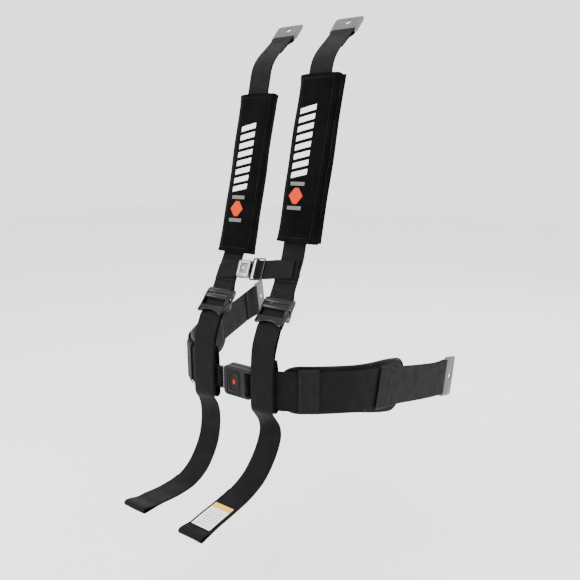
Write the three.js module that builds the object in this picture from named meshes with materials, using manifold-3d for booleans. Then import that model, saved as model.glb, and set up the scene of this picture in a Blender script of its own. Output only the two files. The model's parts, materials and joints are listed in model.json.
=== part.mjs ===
// Four-point racing harness, in millimetres, +Z up, wearer facing -Y.
// The origin is the middle of the waist, level with the lap belt.
import * as THREE from 'three';
import { mergeVertices } from 'three/addons/utils/BufferGeometryUtils.js';
import Module from 'manifold-3d';

const wasm = await Module();
wasm.setup();

// Driving dimensions.
const GAP = 0.3;                      // clearance between pieces that touch
const WEB = 1.6;                      // webbing thickness
const STRAP_X = 70;                   // centre of each shoulder strap from the middle
const STRAP_WIDE = 50;                // 2 inch shoulder and tail webbing
const LAP_WIDE = 76;                  // 3 inch lap webbing
const LAP_GATHERED = 44;              // lap webbing where it is gathered at the buckle
const CHEST_WIDE = 38;                // 1.5 inch chest webbing
const LAP_FRONT = -120;               // Y of the lap belt at the buckle
const BAR = 3;                        // radius of every webbing bar
const LOOP = BAR + GAP + WEB / 2;     // radius of webbing wrapped round a bar
const ADJUSTER_AT = [-72, 152];       // Y and Z of the adjuster's top bar
const ADJUSTER_TILT = THREE.MathUtils.degToRad(-42.6);
const ADJUSTER_REACH = 56;            // everything that tilts stays inside this radius
const PAD_LONG = 312;
const PAD_WIDE = 80;
const PAD_THICK = 26;
const PAD_WALL = 3;
const FOAM_WIDE = 54;
const FOAM_THICK = 5.6;
const FOAM_OUT = 4.5;                 // foam sheets stand this far off the strap
const FLAP_WIDE = 12;
const HIP_THICK = 12;
const TAB_THICK = 3;

const BLACK_WEB = { color: 0x1b1b1d, roughness: 0.85, metalness: 0 };
const BLACK_CLOTH = { color: 0x121214, roughness: 0.95, metalness: 0 };
const BLACK_STEEL = { color: 0x151517, roughness: 0.35, metalness: 0.7 };
const BRIGHT_STEEL = { color: 0xc9c9cb, roughness: 0.25, metalness: 1 };
const DARK_PLASTIC = { color: 0x2a2a2c, roughness: 0.5, metalness: 0 };
const RED = { color: 0xb8161b, roughness: 0.4, metalness: 0 };
const LABEL = { color: 0xe9e6da, roughness: 0.8, metalness: 0 };

const harness = new THREE.Group();
const vec = (x, y, z) => new THREE.Vector3(x, y, z);
const SIDE = { left: -1, right: 1 };
const SIDES = ['left', 'right'];

function add(name, geometry, look, group = harness) {
  const mesh = new THREE.Mesh(geometry, new THREE.MeshStandardMaterial(look));
  mesh.name = name;
  group.add(mesh);
  return mesh;
}

// Boolean work on closed meshes.
function solid(geometry) {
  const bare = new THREE.BufferGeometry();
  bare.setAttribute('position', geometry.getAttribute('position'));
  bare.setIndex(geometry.index);
  const joined = mergeVertices(bare, 1e-3);
  return new wasm.Manifold(new wasm.Mesh({
    numProp: 3,
    vertProperties: new Float32Array(joined.getAttribute('position').array),
    triVerts: new Uint32Array(joined.index.array),
  }));
}

function surface(manifold) {
  const mesh = manifold.getMesh();
  const geometry = new THREE.BufferGeometry();
  geometry.setAttribute('position', new THREE.BufferAttribute(mesh.vertProperties, 3));
  geometry.setIndex(new THREE.BufferAttribute(mesh.triVerts, 1));
  return geometry;
}

const join = (...parts) => surface(parts.map(solid).reduce((a, b) => a.add(b)));
function cut(body, ...tools) {
  return surface(tools.map(solid).reduce((a, b) => a.subtract(b), solid(body)));
}

// Simple shapes, each placed by its middle.
function block(size, at = [0, 0, 0]) {
  return new THREE.BoxGeometry(...size).translate(...at);
}

function rod(radius, length, at = [0, 0, 0], sides = 20) {
  return new THREE.CylinderGeometry(radius, radius, length, sides)
    .rotateZ(Math.PI / 2).translate(...at);
}

function post(radius, length, at = [0, 0, 0], sides = 20) {
  return new THREE.CylinderGeometry(radius, radius, length, sides).translate(...at);
}

// A plate with rounded corners in X and Z, its thickness along Y.
function plate(width, height, thick, corner, at = [0, 0, 0], bevel = 0) {
  const w = width / 2 - bevel;
  const h = height / 2 - bevel;
  const r = Math.max(corner - bevel, 0.2);
  const outline = new THREE.Shape();
  outline.moveTo(-w + r, -h);
  outline.lineTo(w - r, -h);
  outline.absarc(w - r, -h + r, r, -Math.PI / 2, 0);
  outline.lineTo(w, h - r);
  outline.absarc(w - r, h - r, r, 0, Math.PI / 2);
  outline.lineTo(-w + r, h);
  outline.absarc(-w + r, h - r, r, Math.PI / 2, Math.PI);
  outline.lineTo(-w, -h + r);
  outline.absarc(-w + r, -h + r, r, Math.PI, Math.PI * 1.5);
  const geometry = new THREE.ExtrudeGeometry(outline, {
    depth: thick - 2 * bevel, curveSegments: 3, bevelEnabled: bevel > 0,
    bevelSize: bevel, bevelThickness: bevel, bevelSegments: 1,
  });
  return geometry.translate(0, 0, -thick / 2 + bevel).rotateX(Math.PI / 2).translate(...at);
}

function volume(positions, index) {
  const corner = (i) => vec(positions[3 * i], positions[3 * i + 1], positions[3 * i + 2]);
  let sum = 0;
  for (let t = 0; t < index.length; t += 3) {
    sum += corner(index[t]).dot(corner(index[t + 1]).cross(corner(index[t + 2])));
  }
  return sum;
}

// A closed body through rings of points, with flat ends and its faces outwards.
function loft(rings) {
  const count = rings[0].length;
  const positions = rings.flat().flatMap((p) => [p.x, p.y, p.z]);
  const index = [];
  for (let r = 0; r + 1 < rings.length; r += 1) {
    for (let i = 0; i < count; i += 1) {
      const a = r * count + i;
      const b = r * count + (i + 1) % count;
      index.push(a, b, a + count, b, b + count, a + count);
    }
  }
  const last = (rings.length - 1) * count;
  for (let i = 1; i + 1 < count; i += 1) {
    index.push(0, i + 1, i);
    index.push(last, last + i, last + i + 1);
  }
  if (volume(positions, index) < 0) index.reverse();
  const geometry = new THREE.BufferGeometry();
  geometry.setAttribute('position', new THREE.Float32BufferAttribute(positions, 3));
  geometry.setIndex(index);
  return geometry;
}

// Flat webbing along a path. across(i, share) gives the unit direction of its width.
function band(path, width, thickness, across) {
  const widthAt = typeof width === 'function' ? width : () => width;
  const rings = path.map((p, i) => {
    const share = i / (path.length - 1);
    const ahead = path[Math.min(i + 1, path.length - 1)];
    const behind = path[Math.max(i - 1, 0)];
    const along = ahead.clone().sub(behind).normalize();
    const side = across(share, p).clone();
    side.addScaledVector(along, -side.dot(along)).normalize();
    const up = along.clone().cross(side).multiplyScalar(thickness / 2);
    side.multiplyScalar(widthAt(share, p) / 2);
    return [[-1, -1], [1, -1], [1, 1], [-1, 1]].map(
      ([s, u]) => p.clone().addScaledVector(side, s).addScaledVector(up, u));
  });
  return loft(rings);
}

function smooth(points, count) {
  return new THREE.CatmullRomCurve3(points, false, 'centripetal').getSpacedPoints(count);
}

// Points of an arc in the Y-Z plane, angles in degrees.
function arc(x, [y, z], radius, from, to, steps = 8) {
  const points = [];
  for (let i = 0; i <= steps; i += 1) {
    const angle = THREE.MathUtils.degToRad(from + (to - from) * i / steps);
    points.push(vec(x, y + radius * Math.cos(angle), z + radius * Math.sin(angle)));
  }
  return points;
}

const inSide = (x, pairs) => pairs.map(([y, z]) => vec(x, y, z));
const ALONG_X = () => vec(1, 0, 0);
const ALONG_Z = () => vec(0, 0, 1);

// ---- Shoulder webbing: anchor loop, straight run under the pad, sewn loop at the adjuster.
function point(deg) {
  const angle = THREE.MathUtils.degToRad(deg);
  return [Math.cos(angle), Math.sin(angle)];
}

const CHEST_DEG = 60;                 // strap directions in the Y-Z plane, from +Y, going up
const RUN_DEG = 75;
const SHOULDER_END_DEG = 46;
const CHEST_RUN = 64;                 // straight webbing above the adjuster
const PAD_RUN = 340;                  // straight webbing that the pad slides on
const SHOULDER_END = [134, 642];      // middle of the anchor's bar

const step = ([y, z], deg, length) => [y + point(deg)[0] * length, z + point(deg)[1] * length];
const CHEST_LOW = step(ADJUSTER_AT, CHEST_DEG + 90, LOOP);
const CHEST_HIGH = step(CHEST_LOW, CHEST_DEG, CHEST_RUN);
const RUN_LOW = [-31, 238];
const RUN_HIGH = step(RUN_LOW, RUN_DEG, PAD_RUN);

// A smooth bend in the Y-Z plane from one straight stretch to another.
function bend(x, from, fromDeg, to, toDeg, count) {
  const reach = 0.36 * Math.hypot(to[0] - from[0], to[1] - from[1]);
  const a = step(from, fromDeg, reach);
  const b = step(to, toDeg, -reach);
  const curve = new THREE.CubicBezierCurve3(
    vec(x, ...from), vec(x, ...a), vec(x, ...b), vec(x, ...to));
  return curve.getSpacedPoints(count);
}

// A second layer of webbing beside a path in the Y-Z plane, at an offset that changes along it.
function beside(path, offsetAt) {
  let far = 0;
  return path.map((p, i) => {
    const ahead = path[Math.min(i + 1, path.length - 1)];
    const behind = path[Math.max(i - 1, 0)];
    const along = ahead.clone().sub(behind).normalize();
    if (i > 0) far += p.distanceTo(path[i - 1]);
    const offset = offsetAt(far);
    return p.clone().add(vec(0, along.z * offset, -along.y * offset));
  });
}

// The path from the adjuster's bar up to the anchor's bar.
function shoulderRun(x) {
  const top = step(SHOULDER_END, SHOULDER_END_DEG + 90, LOOP);
  return [
    ...[0, 0.2, 0.4, 0.6, 0.8].map((share) => vec(x, ...step(CHEST_LOW, CHEST_DEG, CHEST_RUN * share))),
    ...bend(x, CHEST_HIGH, CHEST_DEG, RUN_LOW, RUN_DEG, 5).slice(0, -1),
    vec(x, ...RUN_LOW),
    ...bend(x, RUN_HIGH, RUN_DEG, top, SHOULDER_END_DEG, 10),
  ];
}

const SEWN = WEB + GAP;               // distance between two layers sewn together
const SEWN_FROM = [0, 6, 12, 18, 26, 40, 56];   // steps along the sewn layer at the adjuster
const CLOSES_BY = 26;                 // the two layers lie together from here on

function sewnOffset(far) {
  return SEWN + (2 * LOOP - SEWN) * (1 - THREE.MathUtils.smoothstep(far, 0, CLOSES_BY));
}

function shoulderWebbing(side) {
  const x = SIDE[side] * STRAP_X;
  const run = shoulderRun(x);
  const start = SEWN_FROM.map((far) => vec(x, ...step(CHEST_LOW, CHEST_DEG, far)));
  const lower = beside(start, sewnOffset);
  const upper = beside(run.slice(-8).reverse(), (far) => -sewnOffset(far));
  const path = [
    ...lower.slice(1).reverse(),
    ...arc(x, ADJUSTER_AT, LOOP, CHEST_DEG + 270, CHEST_DEG + 90),
    ...run.slice(1, -1),
    ...arc(x, SHOULDER_END, LOOP, SHOULDER_END_DEG + 90, SHOULDER_END_DEG - 90),
    ...upper.slice(1),
  ];
  add(`${side}_shoulder_webbing`, band(path, STRAP_WIDE, WEB, ALONG_X), BLACK_WEB);
}

// ---- Shoulder pad: a sleeve round the straight run, its foam, and the closure flap.
const PAD_LOW = { left: -13, right: 18 };     // start of each pad, measured up the straight run
const PAD_SHIFT = { left: 5, right: 3 };    // how far each pad sits off the strap's middle
const RUN = vec(0, ...point(RUN_DEG));
const RUN_OUT = vec(0, -RUN.z, RUN.y);

function onRun(x, far, out = 0) {
  return vec(x, ...RUN_LOW).addScaledVector(RUN, far).addScaledVector(RUN_OUT, out);
}

function ovalRing(centre, halfWide, halfThick, points = 20) {
  const power = 0.62;
  const ring = [];
  for (let i = 0; i < points; i += 1) {
    const angle = -2 * Math.PI * i / points;
    const c = Math.cos(angle);
    const s = Math.sin(angle);
    ring.push(centre.clone()
      .add(vec(Math.sign(c) * Math.abs(c) ** power * halfWide, 0, 0))
      .addScaledVector(RUN_OUT, Math.sign(s) * Math.abs(s) ** power * halfThick));
  }
  return ring;
}

function shoulderPad(side) {
  const x = SIDE[side] * STRAP_X + PAD_SHIFT[side];
  const low = PAD_LOW[side];
  const high = low + PAD_LONG;
  const body = (grow, wide, thick) => {
    const rings = [];
    const steps = 8;
    for (let i = 0; i <= steps; i += 1) {
      const share = i / steps;
      const swell = 1 - 0.04 * Math.cos(2 * Math.PI * share);
      const far = low - grow + (high - low + 2 * grow) * share;
      rings.push(ovalRing(onRun(x, far), wide * swell, thick * swell));
    }
    return loft(rings);
  };
  const cover = body(0, PAD_WIDE / 2, PAD_THICK / 2);
  const hollow = body(2, PAD_WIDE / 2 - PAD_WALL, PAD_THICK / 2 - PAD_WALL);
  add(`${side}_shoulder_pad_cover`, cut(cover, hollow), BLACK_CLOTH);
  for (const [place, out] of [['front', 1], ['back', -1]]) {
    const path = [onRun(x, low + 6, out * FOAM_OUT), onRun(x, high - 6, out * FOAM_OUT)];
    add(`${side}_shoulder_pad_${place}_foam`, band(path, FOAM_WIDE, FOAM_THICK, ALONG_X), BLACK_CLOTH);
  }
  // The seam flap stands out beside the right sleeve and lies folded behind the left one.
  const beside = PAD_WIDE / 2 * 1.04 + GAP + FLAP_WIDE / 2;
  const flapAt = side === 'right' ? x + beside : x - PAD_WIDE / 2 + 14;
  const flapOut = side === 'right' ? 0 : -(PAD_THICK / 2 * 1.04 + GAP + 2);
  const flapPath = [onRun(flapAt, low + 2, flapOut), onRun(flapAt, high - 2, flapOut)];
  const flap = band(flapPath, FLAP_WIDE, 4, ALONG_X);
  add(`${side}_shoulder_pad_closure`, flap, BLACK_CLOTH);
}

// ---- Adjuster: tilting frame, lock bar and the webbing wrapped round it.
// Its own frame has the top bar at the origin, the lip towards -Z and the front towards -Y.
const FRAME_INSIDE = 26.4;
const RAIL = 2.4;
const ACROSS = 2 * FRAME_INSIDE + 0.4;   // bars and ribs run a little way into both rails
const LOCK_AT = -17;

function rail(x) {
  const outline = new THREE.Shape();
  outline.moveTo(6, 3);
  outline.quadraticCurveTo(5, 6.5, 0, 6.5);
  outline.quadraticCurveTo(-8, 6, -10.5, -3);
  outline.quadraticCurveTo(-12, -18, -10.5, -28);
  outline.quadraticCurveTo(-10, -38, -12, -50);
  outline.quadraticCurveTo(-8, -53, -5.5, -49);
  outline.quadraticCurveTo(-3, -38, 3, -37);
  outline.quadraticCurveTo(11, -36, 11, -29);
  outline.quadraticCurveTo(11, -22, 7, -18);
  const geometry = new THREE.ExtrudeGeometry(outline, {
    depth: RAIL, bevelEnabled: false, curveSegments: 6,
  });
  return geometry.rotateY(Math.PI / 2).rotateX(Math.PI / 2).translate(x, 0, 0);
}

function frontRib(z) {
  const outline = new THREE.Shape();
  outline.absellipse(-8.9, z, 1.6, 5.4, 0, Math.PI * 2);
  const geometry = new THREE.ExtrudeGeometry(outline, {
    depth: ACROSS, bevelEnabled: false, curveSegments: 8,
  });
  return geometry.rotateY(Math.PI / 2).rotateX(Math.PI / 2).translate(-ACROSS / 2, 0, 0);
}

function lip() {
  const outline = new THREE.Shape();
  const half = FRAME_INSIDE + RAIL;
  outline.moveTo(-half, -36);
  outline.lineTo(half, -36);
  outline.lineTo(half, -49);
  outline.quadraticCurveTo(half, -53, half - 5, -52.5);
  outline.quadraticCurveTo(14, -46, 0, -45.5);
  outline.quadraticCurveTo(-14, -46, -half + 5, -52.5);
  outline.quadraticCurveTo(-half, -53, -half, -49);
  const geometry = new THREE.ExtrudeGeometry(outline, {
    depth: 2, bevelEnabled: false, curveSegments: 6,
  });
  return geometry.rotateX(Math.PI / 2).translate(0, -8, 0);
}

function adjuster(side) {
  const group = new THREE.Group();
  group.position.set(SIDE[side] * STRAP_X, ...ADJUSTER_AT);
  group.rotation.x = ADJUSTER_TILT;
  harness.add(group);
  const rails = [rail(FRAME_INSIDE), rail(-FRAME_INSIDE - RAIL)];
  const slot = block([2 * (FRAME_INSIDE + RAIL) + 4, 2 * BAR - 1.4, 2 * BAR + 2.4], [0, 0, LOCK_AT]);
  const backBar = block([ACROSS, 2, 8], [0, 8.4, -30]);
  const shell = join(...rails, rod(BAR, ACROSS), frontRib(-3), frontRib(-15), lip(), backBar);
  add(`${side}_adjuster_frame`, cut(shell, slot), BLACK_STEEL, group);
  const ends = block([2 * (FRAME_INSIDE + RAIL) + 3, 3.8, 3.4], [0, 0, LOCK_AT]);
  add(`${side}_adjuster_lock_bar`, join(rod(BAR, 51.4, [0, 0, LOCK_AT]), ends), BLACK_STEEL, group);
  const end = -ADJUSTER_REACH + GAP;
  const wrap = [
    ...smooth(inSide(0, [[4.6, end], [4.6, -40], [4.3, -26], [LOOP, LOCK_AT]]), 6).slice(0, -1),
    ...arc(0, [0, LOCK_AT], LOOP, 0, 180),
    ...smooth(inSide(0, [[-LOOP, LOCK_AT], [-4.2, -28], [-2.4, -42], [-1.7, end]]), 6).slice(1),
  ];
  add(`${side}_adjuster_webbing`, band(wrap, STRAP_WIDE, WEB, ALONG_X), BLACK_WEB, group);
}

// A point of the adjuster's own Y-Z plane, in the harness's Y-Z plane.
function fromAdjuster(y, z) {
  const c = Math.cos(ADJUSTER_TILT);
  const s = Math.sin(ADJUSTER_TILT);
  return [ADJUSTER_AT[0] + y * c - z * s, ADJUSTER_AT[1] + y * s + z * c];
}

// ---- Lower webbing: the load layer sewn round the lap belt, and the free tail with its pull loop.
const TAIL = {
  left: [
    [-126, 78], [-131, 40], [-132, 5], [-132.5, -30], [-131, -42],
    [-122, -58], [-117, -80], [-118, -107], [-125, -136], [-141, -163],
    [-162, -184], [-192, -197], [-234, -199], [-280, -194], [-316, -193],
  ],
  right: [
    [-126, 78], [-131, 40], [-132, 5], [-132.5, -30], [-131, -42],
    [-121, -56], [-110, -73], [-107, -94], [-117, -118], [-133, -139],
    [-158, -160], [-196, -174], [-238, -180], [-284, -184], [-322, -190],
  ],
};
const PULL_LOOP = 4.2;                // radius of the folded end of a tail
const FOLD_BACK = 128;                // length of tail folded back and sewn on top
const LABEL_FROM = 22;                // the label's place and size on the right tail's folded end
const LABEL_LONG = 66;
const LABEL_WIDE = 40;
const LABEL_THICK = 0.6;
const LOAD_FRONT = 127.4;             // how far forward the loop round the lap belt stands
const LOAD_REAR = 114.8;

function lowerWebbing(side) {
  const x = SIDE[side] * STRAP_X;
  const [frontY, frontZ] = fromAdjuster(-1.7, -ADJUSTER_REACH - GAP);
  const down = smooth(inSide(x, [[frontY, frontZ], ...TAIL[side]]), 56);
  const end = TAIL[side].at(-1);
  const fold = arc(x, [end[0], end[1] + PULL_LOOP], PULL_LOOP, 270, 90, 6);
  const back = down.slice().reverse();
  const spacing = back[0].distanceTo(back[1]);
  const folded = beside(back.slice(0, Math.round(FOLD_BACK / spacing)), (far) => (
    -SEWN - (2 * PULL_LOOP - SEWN) * (1 - THREE.MathUtils.smoothstep(far, 0, 30))));
  const path = [...down.slice(0, -1), ...fold, ...folded.slice(1)];
  add(`${side}_tail_webbing`, band(path, STRAP_WIDE, WEB, ALONG_X), BLACK_WEB);
  if (side === 'right') {
    const first = Math.round(LABEL_FROM / spacing);
    const last = first + Math.round(LABEL_LONG / spacing);
    const label = beside(folded.slice(first, last + 1), () => -WEB / 2 - GAP - LABEL_THICK / 2);
    add('right_tail_label', band(label, LABEL_WIDE, LABEL_THICK, ALONG_X), LABEL);
  }
  const [backY, backZ] = fromAdjuster(4.6, -ADJUSTER_REACH - GAP);
  const half = LAP_WIDE / 2;
  const front = smooth(inSide(x, [
    [backY, backZ], [-117, 84], [-125, 60], [-LOAD_FRONT, 42], [-LOAD_FRONT, 0],
    [-LOAD_FRONT, -half + 1], [-LOAD_FRONT + 2, -half - 3.2], [-LOAD_FRONT + 6, -half - 4.6],
    [-LOAD_REAR - 2, -half - 3.2], [-LOAD_REAR, -half + 1], [-LOAD_REAR, 0], [-LOAD_REAR, 40],
    [-118.8, 58],
  ]), 46);
  add(`${side}_load_webbing`, band(front, STRAP_WIDE, WEB, ALONG_X), BLACK_WEB);
}

// ---- Lap belt, with the hip pads inside it and their keepers round it.
const LAP_PATH = [
  [70, -119], [96, -118.4], [112, -111], [138, -95], [170, -71], [199, -38],
  [219, 5], [231, 55], [238, 105], [245, 155], [253, 210], [261, 262],
];
const LAP_DROP = {
  left: [0, 0, 0, 0, 0, 0, 0, 2, 8, 18, 28, 38],
  right: [0, 0, 0, 0, 0, -2, -8, -17, -28, -39, -50, -59],
};
const PAD_FROM = 0.06;                // where the hip pad lies, as shares of the belt's side curve
const PAD_TO = 0.66;

function lapCurve(side, inside = 0) {
  const points = LAP_PATH.map(([x, y], i) => {
    const before = LAP_PATH[Math.max(i - 1, 0)];
    const after = LAP_PATH[Math.min(i + 1, LAP_PATH.length - 1)];
    const out = vec(after[1] - before[1], before[0] - after[0], 0).normalize();
    return vec(SIDE[side] * (x - out.x * inside), y - out.y * inside, LAP_DROP[side][i]);
  });
  return new THREE.CatmullRomCurve3(points, false, 'centripetal');
}

// The lap belt's width direction leans with its slope.
function lapAcross(side) {
  const curve = lapCurve(side);
  return (share) => {
    const along = curve.getTangentAt(Math.min(Math.max(share, 0), 1));
    return vec(-along.x * along.z, -along.y * along.z, 1 - along.z * along.z).normalize();
  };
}

// Where each lap belt wraps its bar: the frame's bar on the right, the tongue's on the left.
const BUCKLE_BAR_X = 19;
const TONGUE_BAR_X = -36;
const BUCKLE_X = 3;
const TONGUE_SLACK = 6.6;             // the tongue moves this far as it is released
const BUCKLE_Y = LAP_FRONT + 2;

function gathered(share, p) {
  const reach = (Math.abs(p.x) - 43) / 25;
  return LAP_GATHERED + (LAP_WIDE - LAP_GATHERED) * THREE.MathUtils.smoothstep(reach, 0, 1);
}

function barLoop(x, y, sign, steps = 8) {
  const points = [];
  for (let i = 0; i <= steps; i += 1) {
    const angle = Math.PI * (0.5 + i / steps);
    points.push(vec(x + sign * LOOP * Math.cos(angle), y + LOOP * Math.sin(angle), 0));
  }
  return points;
}

// The bar at the rear end of a lap belt: its middle, the belt's direction, outward and up.
function lapEnd(side) {
  const curve = lapCurve(side);
  const tangent = curve.getTangentAt(1);
  const up = lapAcross(side)(1);
  const out = tangent.clone().cross(up).multiplyScalar(SIDE[side]).normalize();
  const centre = curve.getPointAt(1).addScaledVector(out, -LOOP).addScaledVector(tangent, 8);
  return { centre, tangent, up, out };
}

function lapWebbing(side) {
  const sidePoints = lapCurve(side).getSpacedPoints(34);
  const lean = lapAcross(side);
  const { centre, tangent, out } = lapEnd(side);
  const loop = [];
  for (let i = 0; i <= 8; i += 1) {
    const angle = Math.PI * (0.5 - i / 8);
    loop.push(centre.clone().addScaledVector(tangent, LOOP * Math.cos(angle))
      .addScaledVector(out, LOOP * Math.sin(angle)));
  }
  const back = [12, 24, 34, 46].map((run, i) => centre.clone().addScaledVector(tangent, -run)
    .addScaledVector(out, [-2.6, 0.4, LOOP - WEB - GAP, LOOP - WEB - GAP][i]));
  let path = [...sidePoints, ...loop, ...back];
  const total = path.length - 1;
  if (side === 'right') {
    const bar = barLoop(BUCKLE_BAR_X, BUCKLE_Y + 5.6, 1);
    const front = smooth([bar.at(-1), vec(34, -117.6, 0), vec(50, -119.3, 0), vec(70, -119, 0)], 6);
    const rear = smooth([vec(64, -117.1, 0), vec(48, -117.2, 0), vec(36, -113.6, 0), bar[0]], 5);
    path = [...rear.slice(0, -1), ...bar, ...front.slice(1, -1), ...path];
  } else {
    path = [vec(-TONGUE_SLACK - 62, -119, 0), ...path.slice(1)];
  }
  const offset = path.length - 1 - total;
  const across = (share) => lean((share * (path.length - 1) - offset) / (sidePoints.length - 1));
  add(`${side}_lap_webbing`, band(path, gathered, WEB, across), BLACK_WEB);
}

// The short doubled webbing that moves with the tongue.
function tongueWebbing() {
  const bar = barLoop(TONGUE_BAR_X, BUCKLE_Y - 3.2, -1).reverse();
  const front = smooth([vec(-61.6, -121, 0), vec(-47, -121.4, 0), bar[0]], 6);
  const rear = smooth([bar.at(-1), vec(-47, -118.2, 0), vec(-61.6, -118.9, 0)], 6);
  const path = [...front.slice(0, -1), ...bar, ...rear.slice(1)];
  const width = (share, p) => 40 + 26 * THREE.MathUtils.smoothstep((Math.abs(p.x) - 42) / 20, 0, 1);
  add('left_tongue_webbing', band(path, width, WEB, ALONG_Z), BLACK_WEB);
}

function hipHalfHeight(share) {
  const ends = Math.min(share, 1 - share) / 0.12;
  const round = Math.sqrt(Math.max(0, 1 - (1 - Math.min(ends, 1)) ** 2));
  const waist = 44 + 7.5 * THREE.MathUtils.smoothstep(share, 0.45, 0.85);
  return 20 + (waist - 20) * round;
}

function hipPad(side) {
  const sign = SIDE[side];
  const curve = lapCurve(side, WEB / 2 + GAP + 0.15 + HIP_THICK / 2);
  const lean = lapAcross(side);
  const steps = 28;
  const rings = [];
  for (let i = 0; i <= steps; i += 1) {
    const share = i / steps;
    const t = PAD_FROM + (PAD_TO - PAD_FROM) * share;
    const at = curve.getPointAt(t);
    const along = curve.getTangentAt(t);
    const up = lean(t);
    const out = vec(sign * along.y, -sign * along.x, 0).normalize();
    const h = hipHalfHeight(share);
    const edge = Math.max(h - 9, 4);
    const half = HIP_THICK / 2;
    const ring = [[-h, -2], [-edge, -half], [edge, -half], [h, -2], [h, half], [-h, half]].map(
      ([u, o]) => at.clone().addScaledVector(up, u).addScaledVector(out, o));
    rings.push(sign > 0 ? ring : ring.reverse());
  }
  add(`${side}_hip_pad`, loft(rings), BLACK_CLOTH);
  [0.19, 0.75].forEach((share, i) => keeper(side, i + 1, PAD_FROM + (PAD_TO - PAD_FROM) * share));
}

// A keeper is a flat loop of webbing over the lap belt, its two ends sewn to the pad.
function keeper(side, number, t) {
  const sign = SIDE[side];
  const curve = lapCurve(side);
  const at = curve.getPointAt(t);
  const along = curve.getTangentAt(t);
  const up = lapAcross(side)(t);
  const out = vec(sign * along.y, -sign * along.x, 0).normalize();
  const over = WEB + GAP + 1;
  const half = LAP_WIDE / 2;
  const profile = [
    [-half - 3.5, -0.2], [-half - 1.6, over], [0, over + 0.3], [half + 1.6, over], [half + 3.5, -0.2],
  ];
  const path = profile.map(([u, o]) => at.clone().addScaledVector(up, u).addScaledVector(out, o + 0.3));
  add(`${side}_hip_keeper_${number}`, band(path, STRAP_WIDE * 0.76, WEB, () => along), BLACK_WEB);
}

// ---- Lap buckle. Its own frame is centred on the buckle with the front towards -Y.
const BUCKLE_WIDE = 66;
const BUCKLE_MIDDLE = 7;              // the shells reach further on the side of the fixed belt
const WORKS_WIDE = 48;                // hollow that holds the moving parts
const BUCKLE_TALL = 58;
const PANEL_WIDE = 33;                // the push button fills this opening in the front cover
const PANEL_TALL = 48;
const SHELL_WALL = 2;
const SHELL_CORNER = 9;
const TONGUE_Y = -3.2;                // the plane that the tongue slides in
const FRAME_Y = 5.6;                  // the plane of the steel frame behind it

function lapBuckle() {
  const group = new THREE.Group();
  group.position.set(BUCKLE_X, BUCKLE_Y, 0);
  harness.add(group);
  const middle = BUCKLE_MIDDLE;
  const innerTall = BUCKLE_TALL - 2 * SHELL_WALL;
  const mouth = block([30, 5.4, LAP_GATHERED + 3], [-24, TONGUE_Y, 0]);
  const webMouth = block([36, 10.8, LAP_GATHERED + 3], [27, 5.5, 0]);
  const beltRecess = block([18, 14, LAP_GATHERED + 3], [35, -6, 0]);
  const rear = cut(plate(BUCKLE_WIDE, BUCKLE_TALL, 12, SHELL_CORNER, [middle, 6.2, 0], 1.5),
    plate(WORKS_WIDE, innerTall, 10.2, SHELL_CORNER - SHELL_WALL, [0, 4.9, 0]), webMouth, mouth);
  add('lap_buckle_rear_shell', rear, DARK_PLASTIC, group);
  const front = cut(plate(BUCKLE_WIDE, BUCKLE_TALL, 12.2, SHELL_CORNER, [middle, -6.2, 0], 2),
    plate(WORKS_WIDE, innerTall, 10.2, SHELL_CORNER - SHELL_WALL, [0, -5, 0]), mouth, webMouth,
    beltRecess, plate(PANEL_WIDE, PANEL_TALL, 8, 1.5, [0, -12, 0]));
  add('lap_buckle_front_cover', front, DARK_PLASTIC, group);
  const rim = cut(plate(24, 36, 2, 6, [0, -11.6, 0]), plate(20.8, 32.8, 4, 4.6, [0, -11.6, 0]));
  const button = cut(join(plate(PANEL_WIDE - 2 * GAP, PANEL_TALL - 2 * GAP, 3, 1.3, [0, -10.2, 0], 0.4),
    rim, block([5, 7.8, 3], [-5, -6, 17.6]), block([5, 7.8, 3], [-5, -6, -17.6])),
  plate(6.6, 10.6, 2.8, 3.1, [0, -11.5, 0]));
  add('lap_buckle_button', button, DARK_PLASTIC, group);
  add('lap_buckle_indicator', plate(6, 10, 1.8, 2.9, [0, -11.3, 0]), RED, group);
  const latch = join(block([14, 2, 42], [-5, -0.8, 0]), block([4, 2.6, 12], [-10, -2.9, 0]));
  add('lap_buckle_latch', latch, BRIGHT_STEEL, group);
  const spring = helix(3.4, 0.5, 3, 2.5).translate(-5, 2.5, 0);
  add('lap_buckle_spring', spring, BRIGHT_STEEL, group);
  const frame = cut(join(plate(44, 46, 1.6, 3, [0, FRAME_Y, 0]), rodZ(BAR, 46, [16, FRAME_Y, 0])),
    block([4.5, 6, 44.4], [10.7, FRAME_Y, 0]), block([3.6, 6, 44.4], [20.9, FRAME_Y, 0]));
  add('lap_buckle_frame', frame, BRIGHT_STEEL, group);
  const head = plate(13, 46, 2, 3, [-35.2, TONGUE_Y, 0]);
  const blade = plate(34, 30, 2, 4, [-14.5, TONGUE_Y, 0]);
  const beltSlot = block([3.9, 5, 41], [-34.95, TONGUE_Y, 0]);
  const window = block([9.8, 5, 14], [-7.5, TONGUE_Y, 0]);
  const tongue = cut(join(head, blade), beltSlot, window);
  add('lap_buckle_tongue', tongue, BRIGHT_STEEL, group);
  const ejector = join(block([3, 2.4, 20], [4.4, TONGUE_Y, 0]), block([7, 2, 6], [9, TONGUE_Y, 0]));
  add('lap_buckle_ejector', ejector, DARK_PLASTIC, group);
  const ejectorSpring = helix(2, 0.4, 10, 4).rotateZ(Math.PI / 2).translate(18.2, TONGUE_Y, 0);
  add('lap_buckle_ejector_spring', ejectorSpring, BRIGHT_STEEL, group);
}

function rodZ(radius, length, at) {
  return new THREE.CylinderGeometry(radius, radius, length, 20).rotateX(Math.PI / 2).translate(...at);
}

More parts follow.
